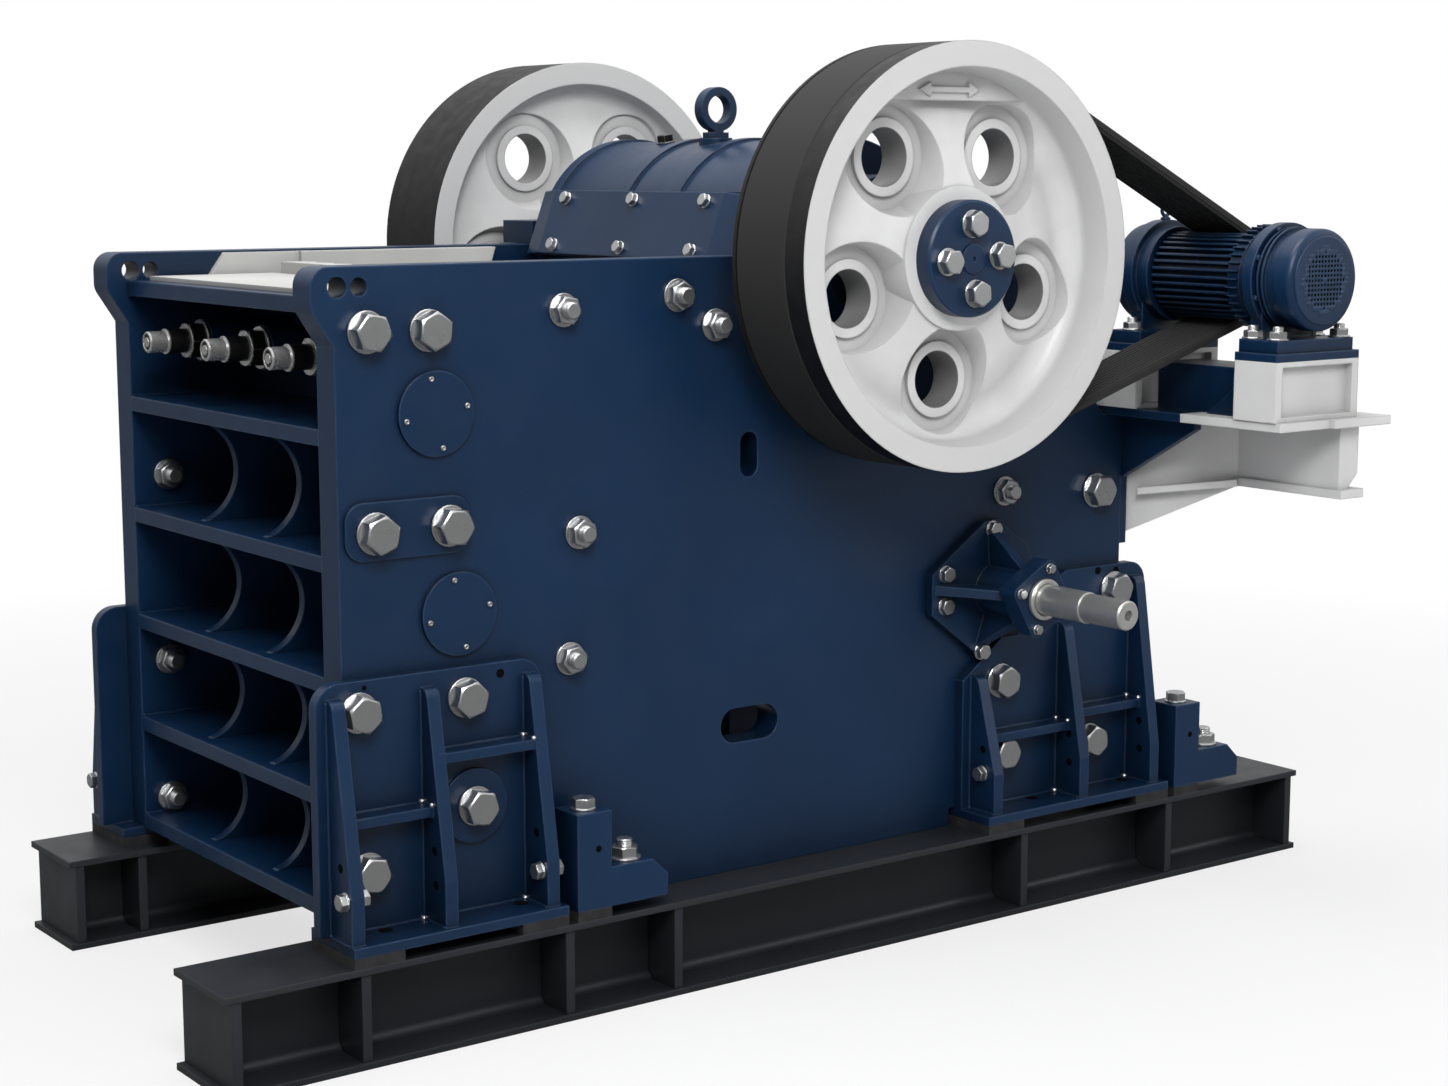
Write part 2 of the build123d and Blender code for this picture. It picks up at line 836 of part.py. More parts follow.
# Feet at the four corners of the frame
front_outline = (
    (x_at(front_foot_x[0]), plate_bottom),
    (x_at(front_foot_x[1]), plate_bottom),
    (x_at(front_foot_x[1]), z_at(front_foot_h)),
    (x_at(front_foot_x[0]), z_at(front_foot_h)),
)
rear_outline = (
    (rear_at(rear_foot_x[0]), plate_bottom),
    (rear_at(rear_foot_x[1]), plate_bottom),
    (rear_at(rear_foot_x[1]), z_at(rear_foot_h)),
    (rear_at(rear_shoulder), z_at(rear_foot_h)),
    (rear_at(rear_notch_x[1]), z_at(rear_notch_h)),
    (rear_at(rear_notch_x[0]), z_at(rear_notch_h)),
    (rear_at(rear_foot_x[0]), z_at(rear_corner_h)),
)
front_base = [x_at(d) for d in front_foot_base]
rear_base = [rear_at(d) for d in rear_foot_x]
front_ribs = [x_at(d) for d in front_foot_ribs]
rear_ribs_x = [rear_at(d) for d in rear_foot_ribs]
front_bosses = [(x_at(foot_boss[0]), z_at(foot_boss[1]))]
for name, side in sides.items():
    front_parts = (front_base, front_ribs, front_rib_h, front_foot_shelves, front_bosses)
    save(foot(side, front_outline, *front_parts), f"{name}_front_foot")
    rear_parts = (rear_base, rear_ribs_x, rear_rib_h, rear_foot_shelves, [])
    save(foot(side, rear_outline, *rear_parts), f"{name}_rear_foot")

# Packing pads between the feet or clamps and the beams
clamp_starts = (front_base[1] + clamp_gap, rear_base[1] + clamp_gap)
clamp_inner = foot_edge - clamp_depth
pad_top = beam_h + pad_t
with BuildPart() as foot_pads:
    for side in sides.values():
        for base in (front_base, rear_base):
            for start in (base[0], base[1] - pad_length):
                slab((start, start + pad_length), (side * foot_inner, side * foot_edge), (beam_h, pad_top))
        for start in clamp_starts:
            slab((start, start + clamp_w), (side * clamp_inner, side * foot_edge), (beam_h, pad_top))
save(foot_pads, "foot_pads")

# Hold-down clamps: an upright block with a sloping tail along the beam
with BuildPart() as hold_down_clamps:
    for side in sides.values():
        for start in clamp_starts:
            end = start + clamp_w + clamp_tail
            with BuildSketch(side_plane(side, clamp_inner, clamp_depth)):
                with BuildLine():
                    Polyline(
                        (start, pad_top),
                        (end, pad_top),
                        (end, pad_top + clamp_tail_toe),
                        (end - clamp_tail_slope, pad_top + clamp_tail_h),
                        (start + clamp_w, pad_top + clamp_tail_h),
                        (start + clamp_w, pad_top + clamp_h),
                        (start, pad_top + clamp_h),
                        close=True,
                    )
                make_face()
            extrude(amount=clamp_depth)
save(hold_down_clamps, "hold_down_clamps")

# Round covers and rounded pads on the outside of the side plates
with BuildPart() as side_covers:
    for side in sides.values():
        with BuildSketch(side_plane(side, plate_outer, round_cover_t)):
            with Locations(*[(x_at(x), z_at(z)) for x, z in round_covers]):
                Circle(round_cover_r)
            with Locations((x_at(bolt_pad[0]), z_at(bolt_pad[1]))):
                RectangleRounded(*bolt_pad_size, bolt_pad_size[1] / 3)
        extrude(amount=round_cover_t)
save(side_covers, "side_covers")

# Rear box: wall, shelves and webs
rear_wall_low = z_at(rear_wall_h)
with BuildPart() as rear_wall:
    wall_x = [rear_at(d) for d in rear_wall_x]
    slab(wall_x, (-plate_inner, plate_inner), (rear_wall_low, deck_z))
save(rear_wall, "rear_wall")

rear_pitch = (deck_z - rear_wall_low - rear_shelf_t) / (rear_shelves - 1)
rear_box_x = rear_at(rear_wall_x[1])
with BuildPart() as rear_ribs:
    for number in range(rear_shelves):
        top = deck_z - number * rear_pitch
        slab((rear_box_x, plate_rear), (-plate_inner, plate_inner), (top - rear_shelf_t, top))
    for y in (-rear_web_y, rear_web_y):
        slab(
            (rear_box_x, plate_rear - rear_web_setback),
            (y - web_t / 2, y + web_t / 2),
            (rear_wall_low + rear_shelf_t, deck_z - rear_shelf_t),
        )
save(rear_ribs, "rear_ribs")

# Toggle beam, and the toggle plate that leans from it towards the pitman's seat
seat_x = jaw_bottom.X + seat_behind
seat_z = z_at(seat_height)
toggle_half = plate_inner - toggle_side_gap
toggle_beam_z = [z_at(h) for h in toggle_beam_h]
with BuildPart() as toggle_beam:
    slab([rear_at(d) for d in toggle_beam_x], (-plate_inner, plate_inner), toggle_beam_z)
save(toggle_beam, "toggle_beam")

toggle_start = Vector(seat_x + seat_size[0] / 2 + toggle_gap, 0, seat_z + toggle_rise)
toggle_end = Vector(rear_at(toggle_beam_x[0]), 0, sum(toggle_beam_z) / 2)
with BuildPart() as toggle_plate:
    with BuildSketch(Plane.XZ.offset(-toggle_half)):
        with BuildLine():
            Polyline(
                (toggle_start.X, toggle_start.Z - toggle_t / 2),
                (toggle_end.X, toggle_end.Z - toggle_t / 2),
                (toggle_end.X, toggle_end.Z + toggle_t / 2),
                (toggle_start.X, toggle_start.Z + toggle_t / 2),
                close=True,
            )
        make_face()
    extrude(amount=2 * toggle_half)
save(toggle_plate, "toggle_plate")

# Eccentric shaft: journals, the eccentric between them and the wheel seats
with BuildPart() as eccentric_shaft:
    for half, radius, z in (
        (shaft_half, wheel_seat_r, axis_z),
        (plate_outer + housing_out, journal_r, axis_z),
        (plate_inner - eccentric_side_gap, eccentric_r, eccentric_z),
    ):
        with BuildSketch(Plane.XZ.offset(-half)):
            with Locations((axis_x, z)):
                Circle(radius)
        extrude(amount=2 * half)
save(eccentric_shaft, "eccentric_shaft")

# Hub covers on the outer faces of the flywheels
with BuildPart() as hub_covers:
    for side in sides.values():
        with BuildSketch(side_plane(side, shaft_half, cover_t)):
            with Locations((axis_x, axis_z)):
                Circle(cover_r)
        extrude(amount=cover_t)
    rims = hub_covers.edges().filter_by(GeomType.CIRCLE).sort_by(Axis.Y)
    chamfer([rims[0], rims[-1]], cover_edge)
save(hub_covers, "hub_covers")

# Pitman: banded barrel round the eccentric, jaw plate and the ribs behind it
rib_ends = pitman_half - pitman_rib_t / 2
boss_top = eccentric_z + barrel_r + eye_boss_h
end_band = barrel_half - band_w / 2
seat_back = seat_x + seat_size[0] / 2
with BuildPart() as pitman:
    with BuildSketch(Plane.XZ.offset(-barrel_half)):
        with Locations((axis_x, eccentric_z)):
            Circle(barrel_r)
    extrude(amount=2 * barrel_half)
    for y in (-end_band, *band_y, end_band):
        with BuildSketch(Plane.XZ.offset(-y - band_w / 2)):
            with Locations((axis_x, eccentric_z)):
                Circle(barrel_r + band_h)
        extrude(amount=band_w)
    with BuildSketch(Plane.XZ.offset(-pitman_half)):
        with BuildLine():
            Polyline(
                (jaw_top.X, jaw_top.Z),
                (jaw_bottom.X, jaw_bottom.Z),
                (jaw_bottom.X + jaw_plate_t, jaw_bottom.Z),
                (axis_x, jaw_top.Z - jaw_plate_t),
                (axis_x, jaw_top.Z),
                close=True,
            )
        make_face()
    extrude(amount=2 * pitman_half)
    for y in (-rib_ends, -pitman_rib_y, pitman_rib_y, rib_ends):
        with BuildSketch(Plane.XZ.offset(-y - pitman_rib_t / 2)):
            with BuildLine():
                Polyline(
                    (jaw_bottom.X + jaw_plate_t / 2, jaw_bottom.Z),
                    (jaw_bottom.X + 2 * jaw_plate_t, jaw_bottom.Z),
                    (seat_back, seat_z - seat_size[1] / 2),
                    (seat_back, seat_z + seat_size[1] / 2),
                    (axis_x + barrel_r - 2 * jaw_plate_t, eccentric_z - barrel_r / 2),
                    (axis_x, eccentric_z),
                    close=True,
                )
            make_face()
        extrude(amount=pitman_rib_t)
    slab(
        (seat_back - seat_size[0], seat_back),
        (-pitman_half, pitman_half),
        (seat_z - seat_size[1] / 2, seat_z + seat_size[1] / 2),
    )
    with BuildSketch(Plane.XY.offset(eccentric_z)):
        with Locations((axis_x + eye_x, 0)):
            Circle(eye_boss_r)
    extrude(amount=boss_top - eccentric_z)
    with BuildSketch(Plane.XZ.offset(-barrel_half)):
        with Locations((axis_x, eccentric_z)):
            Circle(eccentric_r + fit_gap)
    extrude(amount=2 * barrel_half, mode=Mode.SUBTRACT)
save(pitman, "pitman")

# Guard plate in front of the barrel, with a cheek at each end and a bent wing beyond it
guard_foot = Vector(axis_x + guard_low[0], 0, axis_z + guard_low[1])
guard_head = Vector(axis_x + guard_high[0], 0, axis_z + guard_high[1])
guard_up = (guard_head - guard_foot).normalized()
guard_length = (guard_head - guard_foot).length
with BuildPart() as pitman_guard:
    with BuildSketch(Plane(guard_foot, (0, 1, 0), guard_up)):
        with BuildLine():
            wing_y = guard_half + guard_wing * cos(radians(guard_wing_turn))
            wing_x = guard_wing * sin(radians(guard_wing_turn))
            Polyline(
                (-wing_y, -wing_x),
                (-guard_half, 0),
                (guard_half, 0),
                (wing_y, -wing_x),
                (wing_y, -wing_x - guard_t),
                (guard_half, -guard_t),
                (-guard_half, -guard_t),
                (-wing_y, -wing_x - guard_t),
                close=True,
            )
        make_face()
    extrude(amount=guard_length)
    for y in (-guard_half, guard_half - guard_t):
        with BuildSketch(Plane.XZ.offset(-y - guard_t)):
            with BuildLine():
                Polyline(
                    (guard_foot.X, guard_foot.Z),
                    (guard_head.X, guard_head.Z),
                    (axis_x, guard_head.Z),
                    (axis_x, guard_foot.Z),
                    close=True,
                )
            make_face()
            with Locations((axis_x, eccentric_z)):
                Circle(barrel_r + fit_gap, mode=Mode.SUBTRACT)
        extrude(amount=guard_t)
save(pitman_guard, "pitman_guard")

# Lifting eye on the crown of the barrel: a flat ring on a stem
with BuildPart() as lifting_eye:
    ring_x = axis_x + eye_x
    ring_z = boss_top + eye_rise
    with BuildSketch(Plane.XZ.offset(-eye_t / 2)):
        with Locations((ring_x, ring_z)):
            Circle(eye_r)
        with Locations((ring_x, (ring_z + boss_top) / 2)):
            Rectangle(eye_stem[1], eye_rise)
        with Locations((ring_x, boss_top + eye_stem[1] / 4)):
            Rectangle(eye_stem[0], eye_stem[1] / 2)
        with Locations((ring_x, ring_z)):
            Circle(eye_hole_r, mode=Mode.SUBTRACT)
    extrude(amount=eye_t)
save(lifting_eye, "lifting_eye")

# Belt loop round the near flywheel and the drum
with BuildPart() as drive_belt:
    with BuildSketch(side_plane(NEAR, belt_in, belt_w)):
        with Locations((axis_x, axis_z)):
            Circle(wheel_r)
        with Locations((motor_x, motor_z)):
            Circle(drum_belt_r + belt_t)
        make_hull()
        with BuildSketch(mode=Mode.SUBTRACT):
            with Locations((axis_x, axis_z)):
                Circle(wheel_r - belt_t)
            with Locations((motor_x, motor_z)):
                Circle(drum_belt_r)
            make_hull()
    extrude(amount=belt_w)
save(drive_belt, "drive_belt")

# Axially ribbed drum that the belt runs on, with its shaft ends
with BuildPart() as drive_drum:
    with BuildSketch(side_plane(NEAR, drum_in, drum_out - drum_in)):
        with Locations((motor_x, motor_z)):
            Circle(drum_core_r)
            with PolarLocations(drum_core_r, drum_ribs):
                Rectangle(2 * (drum_belt_r - belt_gap - drum_core_r), drum_rib_w)
    extrude(amount=drum_out - drum_in)
    shaft_length = near_shield_out - far_shield_in - 2 * shield_gap
    with BuildSketch(side_plane(NEAR, far_shield_in + shield_gap, shaft_length)):
        with Locations((motor_x, motor_z)):
            Circle(drum_shaft_r)
    extrude(amount=shaft_length)
save(drive_drum, "drive_drum")

# Motor end shields: stepped rings, and a neck down to the foot
foot_spans = ([near_shield_in + along for along in near_foot], (far_shield_in, far_shield_out))
with BuildPart() as motor_shields:
    for start, rings, neck, foot_span in (
        (near_shield_in, near_shield_rings, near_neck, foot_spans[0]),
        (far_shield_in, far_shield_rings, far_neck, foot_spans[1]),
    ):
        for inner, outer, radius in rings:
            with BuildSketch(side_plane(NEAR, start + inner, outer - inner)):
                with Locations((motor_x, motor_z)):
                    Circle(radius)
            extrude(amount=outer - inner)
        slab(
            (motor_x - shield_neck_half, motor_x + shield_neck_half),
            (-start - neck[0], -start - neck[1]),
            (motor_foot_z, motor_z),
        )
        slab(
            (motor_x - shield_foot_half, motor_x + shield_foot_half),
            (-foot_span[0], -foot_span[1]),
            (motor_foot_z, motor_foot_z + shield_foot_h),
        )
        with BuildSketch(side_plane(NEAR, start, rings[-1][1])):
            with Locations((motor_x, motor_z)):
                Circle(drum_shaft_r + fit_gap)
        extrude(amount=rings[-1][1], mode=Mode.SUBTRACT)
save(motor_shields, "motor_shields")

# Fan end of the motor: a cap on a short neck, with a rounded outer edge
with BuildPart() as fan_cowl:
    for inner, outer, radius in (
        (0, cowl_neck, cowl_neck_r),
        (cowl_neck, cowl_length, cowl_r),
    ):
        with BuildSketch(side_plane(NEAR, near_shield_out + inner, outer - inner)):
            with Locations((motor_x, motor_z)):
                Circle(radius)
        extrude(amount=outer - inner)
    fillet(fan_cowl.edges().sort_by(Axis.Y)[0], cowl_edge)
save(fan_cowl, "fan_cowl")

# Motor plates on the pedestals, which have a framed panel in their near face
base_x = (motor_x - pedestal_half, motor_x + pedestal_half)
with BuildPart() as motor_plates:
    for inner, outer in (pedestal_near, pedestal_far):
        slab(base_x, (-inner, -outer), (pedestal_top, motor_foot_z))
save(motor_plates, "motor_plates")

with BuildPart() as motor_pedestals:
    panel_z = (pedestal_foot + panel_rail + pedestal_top - panel_rail) / 2
    for inner, outer in (pedestal_near, pedestal_far):
        slab(base_x, (-inner, -outer), (pedestal_foot, pedestal_top))
        with BuildSketch(Plane.XZ.offset(outer - panel_depth)):
            with Locations((motor_x, panel_z)):
                Rectangle(2 * (pedestal_half - panel_post), pedestal_h - 2 * panel_rail)
        extrude(amount=panel_depth, mode=Mode.SUBTRACT)
save(motor_pedestals, "motor_pedestals")

# Cross beam under the pedestals: deck, web, bottom flange, end plate and the knee brace to the frame
beam_web_x = rear_at(cross_web_x)
arm_back = rear_at(arm_t)
web_span = (-cross_inner, -(deck_end - end_plate_in))
flange_span = (-cross_inner, -deck_end)
end_plate_x = beam_web_x + web_t / 2
brace_start = Vector(arm_back, -brace_frame_y, 0)
brace_end = Vector(beam_web_x, -brace_beam_y, 0)
brace_along = (brace_end - brace_start).normalized()
brace_length = (brace_end - brace_start).length
brace_plane = Plane(brace_start, brace_along, (brace_along.Y, -brace_along.X, 0))
with BuildPart() as motor_cross_beam:
    slab((arm_back, rear_at(deck_x[1])), flange_span, (deck_z, pedestal_foot))
    slab((rear_at(deck_x[0]), arm_back), (-arm_end, -deck_end), (deck_z, pedestal_foot))
    step_x = (rear_at(deck_step_x), rear_at(deck_x[1]))
    slab(step_x, (-deck_end, -deck_end - deck_step), (deck_z, pedestal_foot))
    slab((beam_web_x - web_t / 2, beam_web_x + web_t / 2), web_span, (cross_bottom, deck_z))
    slab(
        [beam_web_x + x for x in cross_low_x],
        flange_span,
        (cross_bottom, cross_bottom + flange_plate_t),
    )
    with BuildSketch(Plane.XZ.offset(deck_end - end_plate_in - end_plate_t)):
        with BuildLine():
            Polyline(
                (end_plate_x, deck_z),
                (end_plate_x + end_plate_w, deck_z),
                (end_plate_x + end_plate_w, cross_bottom + flange_plate_t + end_plate_clip),
                (end_plate_x + end_plate_w - end_plate_clip, cross_bottom + flange_plate_t),
                (end_plate_x, cross_bottom + flange_plate_t),
                close=True,
            )
        make_face()
    extrude(amount=end_plate_t)
    web_in = web_t / 2 * abs(brace_along.Y / brace_along.X)
    with BuildSketch(brace_plane):
        with BuildLine():
            Polyline(
                (web_in, cross_bottom - brace_drop),
                (brace_length, cross_bottom),
                (brace_length, deck_z),
                (web_in, deck_z),
                close=True,
            )
        make_face()
    extrude(amount=web_t / 2, both=True)
    flange_in = brace_flange_half * abs(brace_along.Y / brace_along.X)
    flange_low = cross_bottom - brace_drop + brace_flange_rise
    with BuildSketch(brace_plane):
        with BuildLine():
            Polyline(
                (flange_in, flange_low),
                (brace_length, cross_bottom),
                (brace_length, cross_bottom + brace_flange_t),
                (flange_in, flange_low + brace_flange_t),
                close=True,
            )
        make_face()
    extrude(amount=brace_flange_half, both=True)
save(motor_cross_beam, "motor_cross_beam")

# Bracket on the frame's rear edge: strip, sloping web and shelf, then a gusset and a bridge on the deck
arm_root_z = deck_z - arm_root_h
strip_low = cross_bottom - brace_drop - web_t
with BuildPart() as motor_arms:
    slab((plate_rear, arm_back), (-plate_inner, -plate_outer), (strip_low, deck_z))
    with BuildSketch(Plane.YZ.offset(plate_rear)):
        with BuildLine():
            Polyline(
                (-plate_inner, deck_z),
                (-arm_end, deck_z),
                (-arm_end, deck_z - arm_tip_h),
                (-plate_outer, arm_root_z),
                (-plate_inner, arm_root_z),
                close=True,
            )
        make_face()
    extrude(amount=arm_t)
    slab((rear_at(deck_x[0]), arm_back), (-plate_inner, -arm_end), (deck_z, pedestal_foot))
    with BuildSketch(Plane.YZ.offset(plate_rear)):
        with BuildLine():
            Polyline(
                (-gusset_start, pedestal_foot),
                (-pedestal_near[0], pedestal_foot),
                (-pedestal_near[0], pedestal_foot + gusset_h),
                close=True,
            )
        make_face()
    extrude(amount=arm_t)
    bridge_y = (-pedestal_far[1], -pedestal_near[0])
    bridge_top = pedestal_foot + bridge_h
    slab((arm_back, arm_back + bridge_t), bridge_y, (pedestal_foot, bridge_top))
    slab((arm_back, arm_back + bridge_w), bridge_y, (bridge_top - bridge_t, bridge_top))
save(motor_arms, "motor_arms")
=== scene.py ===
"""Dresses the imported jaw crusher: enamel and steel finishes, fasteners, belt, grille, light and camera."""

import json
import math

import bmesh
import bpy
from bpy.props import FloatProperty, FloatVectorProperty, IntProperty, PointerProperty
from mathutils import Matrix, Vector


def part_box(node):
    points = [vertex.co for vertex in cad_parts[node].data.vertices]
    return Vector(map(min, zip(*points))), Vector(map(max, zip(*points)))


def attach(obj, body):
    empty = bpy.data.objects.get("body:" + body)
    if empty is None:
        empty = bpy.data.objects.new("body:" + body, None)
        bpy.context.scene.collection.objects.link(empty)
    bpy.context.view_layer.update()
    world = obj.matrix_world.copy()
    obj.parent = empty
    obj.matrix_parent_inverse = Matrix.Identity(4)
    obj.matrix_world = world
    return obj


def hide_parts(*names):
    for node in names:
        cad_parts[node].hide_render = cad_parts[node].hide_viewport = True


bl_info = {
    "name": "Jaw crusher dressing",
    "version": (1, 0, 0),
    "blender": (4, 5, 0),
    "location": "3D View > Sidebar > Crusher",
    "description": "Finishes, fasteners and stage for the packed jaw crusher",
    "category": "Object",
}

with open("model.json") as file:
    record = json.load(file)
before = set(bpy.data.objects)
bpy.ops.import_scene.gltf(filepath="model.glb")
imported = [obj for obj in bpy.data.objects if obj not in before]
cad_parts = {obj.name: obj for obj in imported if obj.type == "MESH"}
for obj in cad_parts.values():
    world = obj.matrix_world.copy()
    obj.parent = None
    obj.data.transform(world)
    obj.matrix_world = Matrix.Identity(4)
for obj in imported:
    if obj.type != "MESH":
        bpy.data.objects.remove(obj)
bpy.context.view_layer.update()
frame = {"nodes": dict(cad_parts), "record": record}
NODES = frame["nodes"]
NEAR = -1
FAR = 1
SIDES = (NEAR, FAR)

# Places read from the solids, in metres
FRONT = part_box("front_shelves")[0].x
PLATE_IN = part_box("far_side_plate")[0].y
PLATE_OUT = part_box("far_side_plate")[1].y
WHEEL_LOW, WHEEL_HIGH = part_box("near_flywheel")
AXIS_X = (WHEEL_LOW.x + WHEEL_HIGH.x) / 2
AXIS_Z = (WHEEL_LOW.z + WHEEL_HIGH.z) / 2
WHEEL_FACE = -WHEEL_LOW.y
COWL_LOW, COWL_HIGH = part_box("fan_cowl")
MOTOR_X = (COWL_LOW.x + COWL_HIGH.x) / 2
MOTOR_Z = (COWL_LOW.z + COWL_HIGH.z) / 2
FLANGE_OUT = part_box("far_setting_bracket")[1].y
ROD_LOW, ROD_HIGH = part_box("near_setting_rod")
ROD_X = (ROD_LOW.x + ROD_HIGH.x) / 2
ROD_Z = (ROD_LOW.z + ROD_HIGH.z) / 2

# Thicknesses that fasteners stand on, as in the solids
FOOT_PLATE = 0.030
BRACKET_PLATE = 0.030
COVER_PLATE = 0.010
FOOT_BOSS = 0.012

# Fasteners of a side, as (distance behind the front edge, height)
PLATE_BOLTS = ((0.082, 1.671), (0.242, 1.669), (2.398, 1.134))
PAD_BOLTS = ((0.089, 1.212), (0.284, 1.214))
PLATE_NUTS = ((0.611, 1.703), (0.944, 1.728), (1.060, 1.651), (0.651, 1.165), (0.620, 0.858), (2.048, 1.158))
ROUND_COVERS = ((0.257, 1.477), (0.310, 1.003))
FRONT_FOOT_BOLTS = ((0.025, 0.806), (0.307, 0.807), (0.039, 0.428))
BOSS_BOLT = (0.324, 0.545)
REAR_FOOT_BOLTS = ((2.015, 0.636), (2.020, 0.433), (2.360, 0.422), (2.446, 0.852))
BRACKET_BOLTS = ((1.979, 1.062), (1.810, 0.953), (1.808, 0.865), (1.942, 0.726))
INNER_NUTS = ((0.096, 1.237), (0.084, 0.741), (0.077, 0.366))

# Rings of fasteners: radius, then angles in degrees
COVER_RING = 0.082
COVER_ANGLES = (10, 100, 190, 280)
FLANGE_RING = 0.084
FLANGE_ANGLES = (75, 165, 255, 345)
HUB_RING = 0.086
HUB_ANGLES = (4, 94, 184, 274)
SHIELD_RING = 0.139
SHIELD_ANGLES = (20, 65, 110, 155, 200, 340)

# Widths of fasteners: some are a share of the size that they follow
FOOT_BOLT_SHARE = 0.97
BRACKET_BOLT_SHARE = 1.05
FLANGE_SCREW_SHARE = 0.62
CLAMP_BOLT_SHARE = 1.4
MOTOR_STUD_SHARE = 0.72
GUARD_BOLT_SHARE = 0.85
HUB_BOLT = 0.056
BARREL_PLUG = 0.044
SHIELD_BOLT = 0.014
BASE_HOLE_SHARE = 1.6
SMALL_HOLE_SHARE = 0.55
CLAMP_HOLE_SHARE = 0.75

# Through bolts and drilled holes of the feet: faces of the ribs behind the front edge, then width and height
RIB = 0.034
RIB_FACES = (-0.057, 0.188, 0.468, 1.908, 2.233, 2.513)
RIB_BOLTS = ((-0.057, 0.712, 0.392), (0.468, 0.708, 0.375), (1.908, 0.689, 0.398))
RIB_HOLES = ((0.690, 0.465), (0.694, 0.384))
FOOT_PLATE_HOLES = ((0.405, 0.852), (2.387, 0.907), (2.459, 0.901))
SMALL_PLATE_HOLES = ((0.042, 0.862),)
FOOT_BASE_HOLES = ((0.070, 0.664), (0.437, 0.666), (2.123, 0.660), (2.480, 0.660))
BASE_TOP = 0.290

# Clamps: starts, outer face and middle line, then fasteners as (distance behind the start, height)
CLAMP_STARTS = (0.546, 2.601)
CLAMP_FACE = 0.751
CLAMP_LINE = 0.701
CLAMP_BOLT = (0.049, 0.506)
CLAMP_STUD = (0.168, 0.364)
CLAMP_HOLE = (0.060, 0.415)

# Wheels, die bolts, pitman and motor
WHEEL_HOLES = 5
WHEEL_HOLE_PITCH = 0.307
WHEEL_HOLE = 0.072
TREAD_FROM = 0.5
RIM_FACE_FROM = 0.452
RIM_FACE_WHOLE = 0.458
DIE_BOLT_SPOTS = (-0.340, 0.0, 0.340)
THROW = 0.015
BARREL = 0.309
MOTOR_STUD_X = (-0.122, 0.122)
MOTOR_STUD_Y = (-1.104, -1.190, -0.660)
MOTOR_FOOT_DROP = 0.156
FACING_OUT = (0, -1, 0)

# Plates that are welded together: heights of ribs and bay shelves above the base, and the front box
RIB_HEIGHTS = (0.555, 0.555, 0.555, 0.375, 0.485, 0.590)
BAY_SHELVES = ((0, 0.282), (1, 0.403), (3, 0.210), (4, 0.240))
BAY_SHELF_PLATE = 0.024
BAY_SHELF_EDGE = PLATE_OUT + 0.083
RIB_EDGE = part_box("far_front_foot")[1].y - 0.013
SHELF_PLATE = 0.038
POCKETS = 5
POCKET_GROWTH = 0.008

# Kinds of node that are used again and again
MATH = "ShaderNodeMath"
VECTOR_MATH = "ShaderNodeVectorMath"
MIX = "ShaderNodeMix"
NOISE = "ShaderNodeTexNoise"
RANGE = "ShaderNodeMapRange"
BUMP = "ShaderNodeBump"
ATTRIBUTE = "GeometryNodeInputNamedAttribute"
ON_POINTS = "GeometryNodeInstanceOnPoints"
COMPARE = "FunctionNodeCompare"


def linear(code):
    """Linear colour of an sRGB hex value."""
    parts = [int(code[place:place + 2], 16) / 255 for place in (1, 3, 5)]
    return tuple(c / 12.92 if c <= 0.04045 else ((c + 0.055) / 1.055) ** 2.4 for c in parts) + (1.0,)


def tint(label, use, code):
    """Property for a colour, with its hex value."""
    return FloatVectorProperty(name=label, description=use, subtype="COLOR", size=4, default=linear(code))


def length(label, use, metres):
    """Property for a size in metres."""
    return FloatProperty(name=label, description=use, unit="LENGTH", default=metres)


class CrusherColours(bpy.types.PropertyGroup):
    """Colours of the finishes."""

    navy: tint("Navy", "Enamel of the frame", "#0E2C4C")
    # Paler enamel along the edges: partly paint worn thin, partly a painted highlight
    navy_edge_wear_highlight: tint("Navy edges", "Enamel where it thins over an edge", "#4A678D")
    white: tint("White", "Enamel of the wheels and the motor base", "#E4E4E4")
    rim: tint("Rim", "Coating of the wheels' running faces", "#111112")
    skid: tint("Skid", "Enamel of the skid beams", "#2A2D32")
    zinc: tint("Zinc", "Plating of the fasteners", "#BDBEBF")
    steel: tint("Steel", "Turned steel of the rods", "#D4D4D1")
    rubber: tint("Rubber", "Rubber of the belt", "#131314")


class CrusherSizes(bpy.types.PropertyGroup):
    """Sizes of what the dressing adds."""

    bolt: length("Bolt heads", "Across flats of the large hexagon heads", 0.080)
    nut: length("Stud nuts", "Across flats of the nuts on the side plates", 0.062)
    small_bolt: length("Small bolts", "Across flats of the small hexagon heads", 0.036)
    screw: length("Cover screws", "Head diameter of the cover screws", 0.014)
    belt_ribs: IntProperty(
        name="Belt ribs", description="Ribs on the inner face of the belt", default=12, min=2)
    rib_depth: length("Belt rib depth", "Depth of a belt rib", 0.008)
    grille_radius: length("Grille radius", "Radius of the perforated part of the cowl", 0.076)
    grille_pitch: length("Grille pitch", "Distance between perforations", 0.0125)
    shield_fins: IntProperty(
        name="Shield fins", description="Fins round the motor's near shield", default=40, min=8)
    hole: length("Drilled holes", "Diameter of the holes in the feet", 0.022)
    weld: length("Weld beads", "Radius of a weld bead", 0.005)
    collar: length("Collar", "Outer radius of the setting rods' collars", 0.056)


def colours():
    """The scene's colours."""
    return bpy.context.scene.crusher_colours


def sizes():
    """The scene's sizes."""
    return bpy.context.scene.crusher_sizes


def feed(tree, node, inputs):
    """Give a node's inputs their values, or links where another node's output is given."""
    for key, value in inputs.items():
        if isinstance(value, bpy.types.NodeSocket):
            tree.links.new(value, node.inputs[key])
        else:
            node.inputs[key].default_value = value


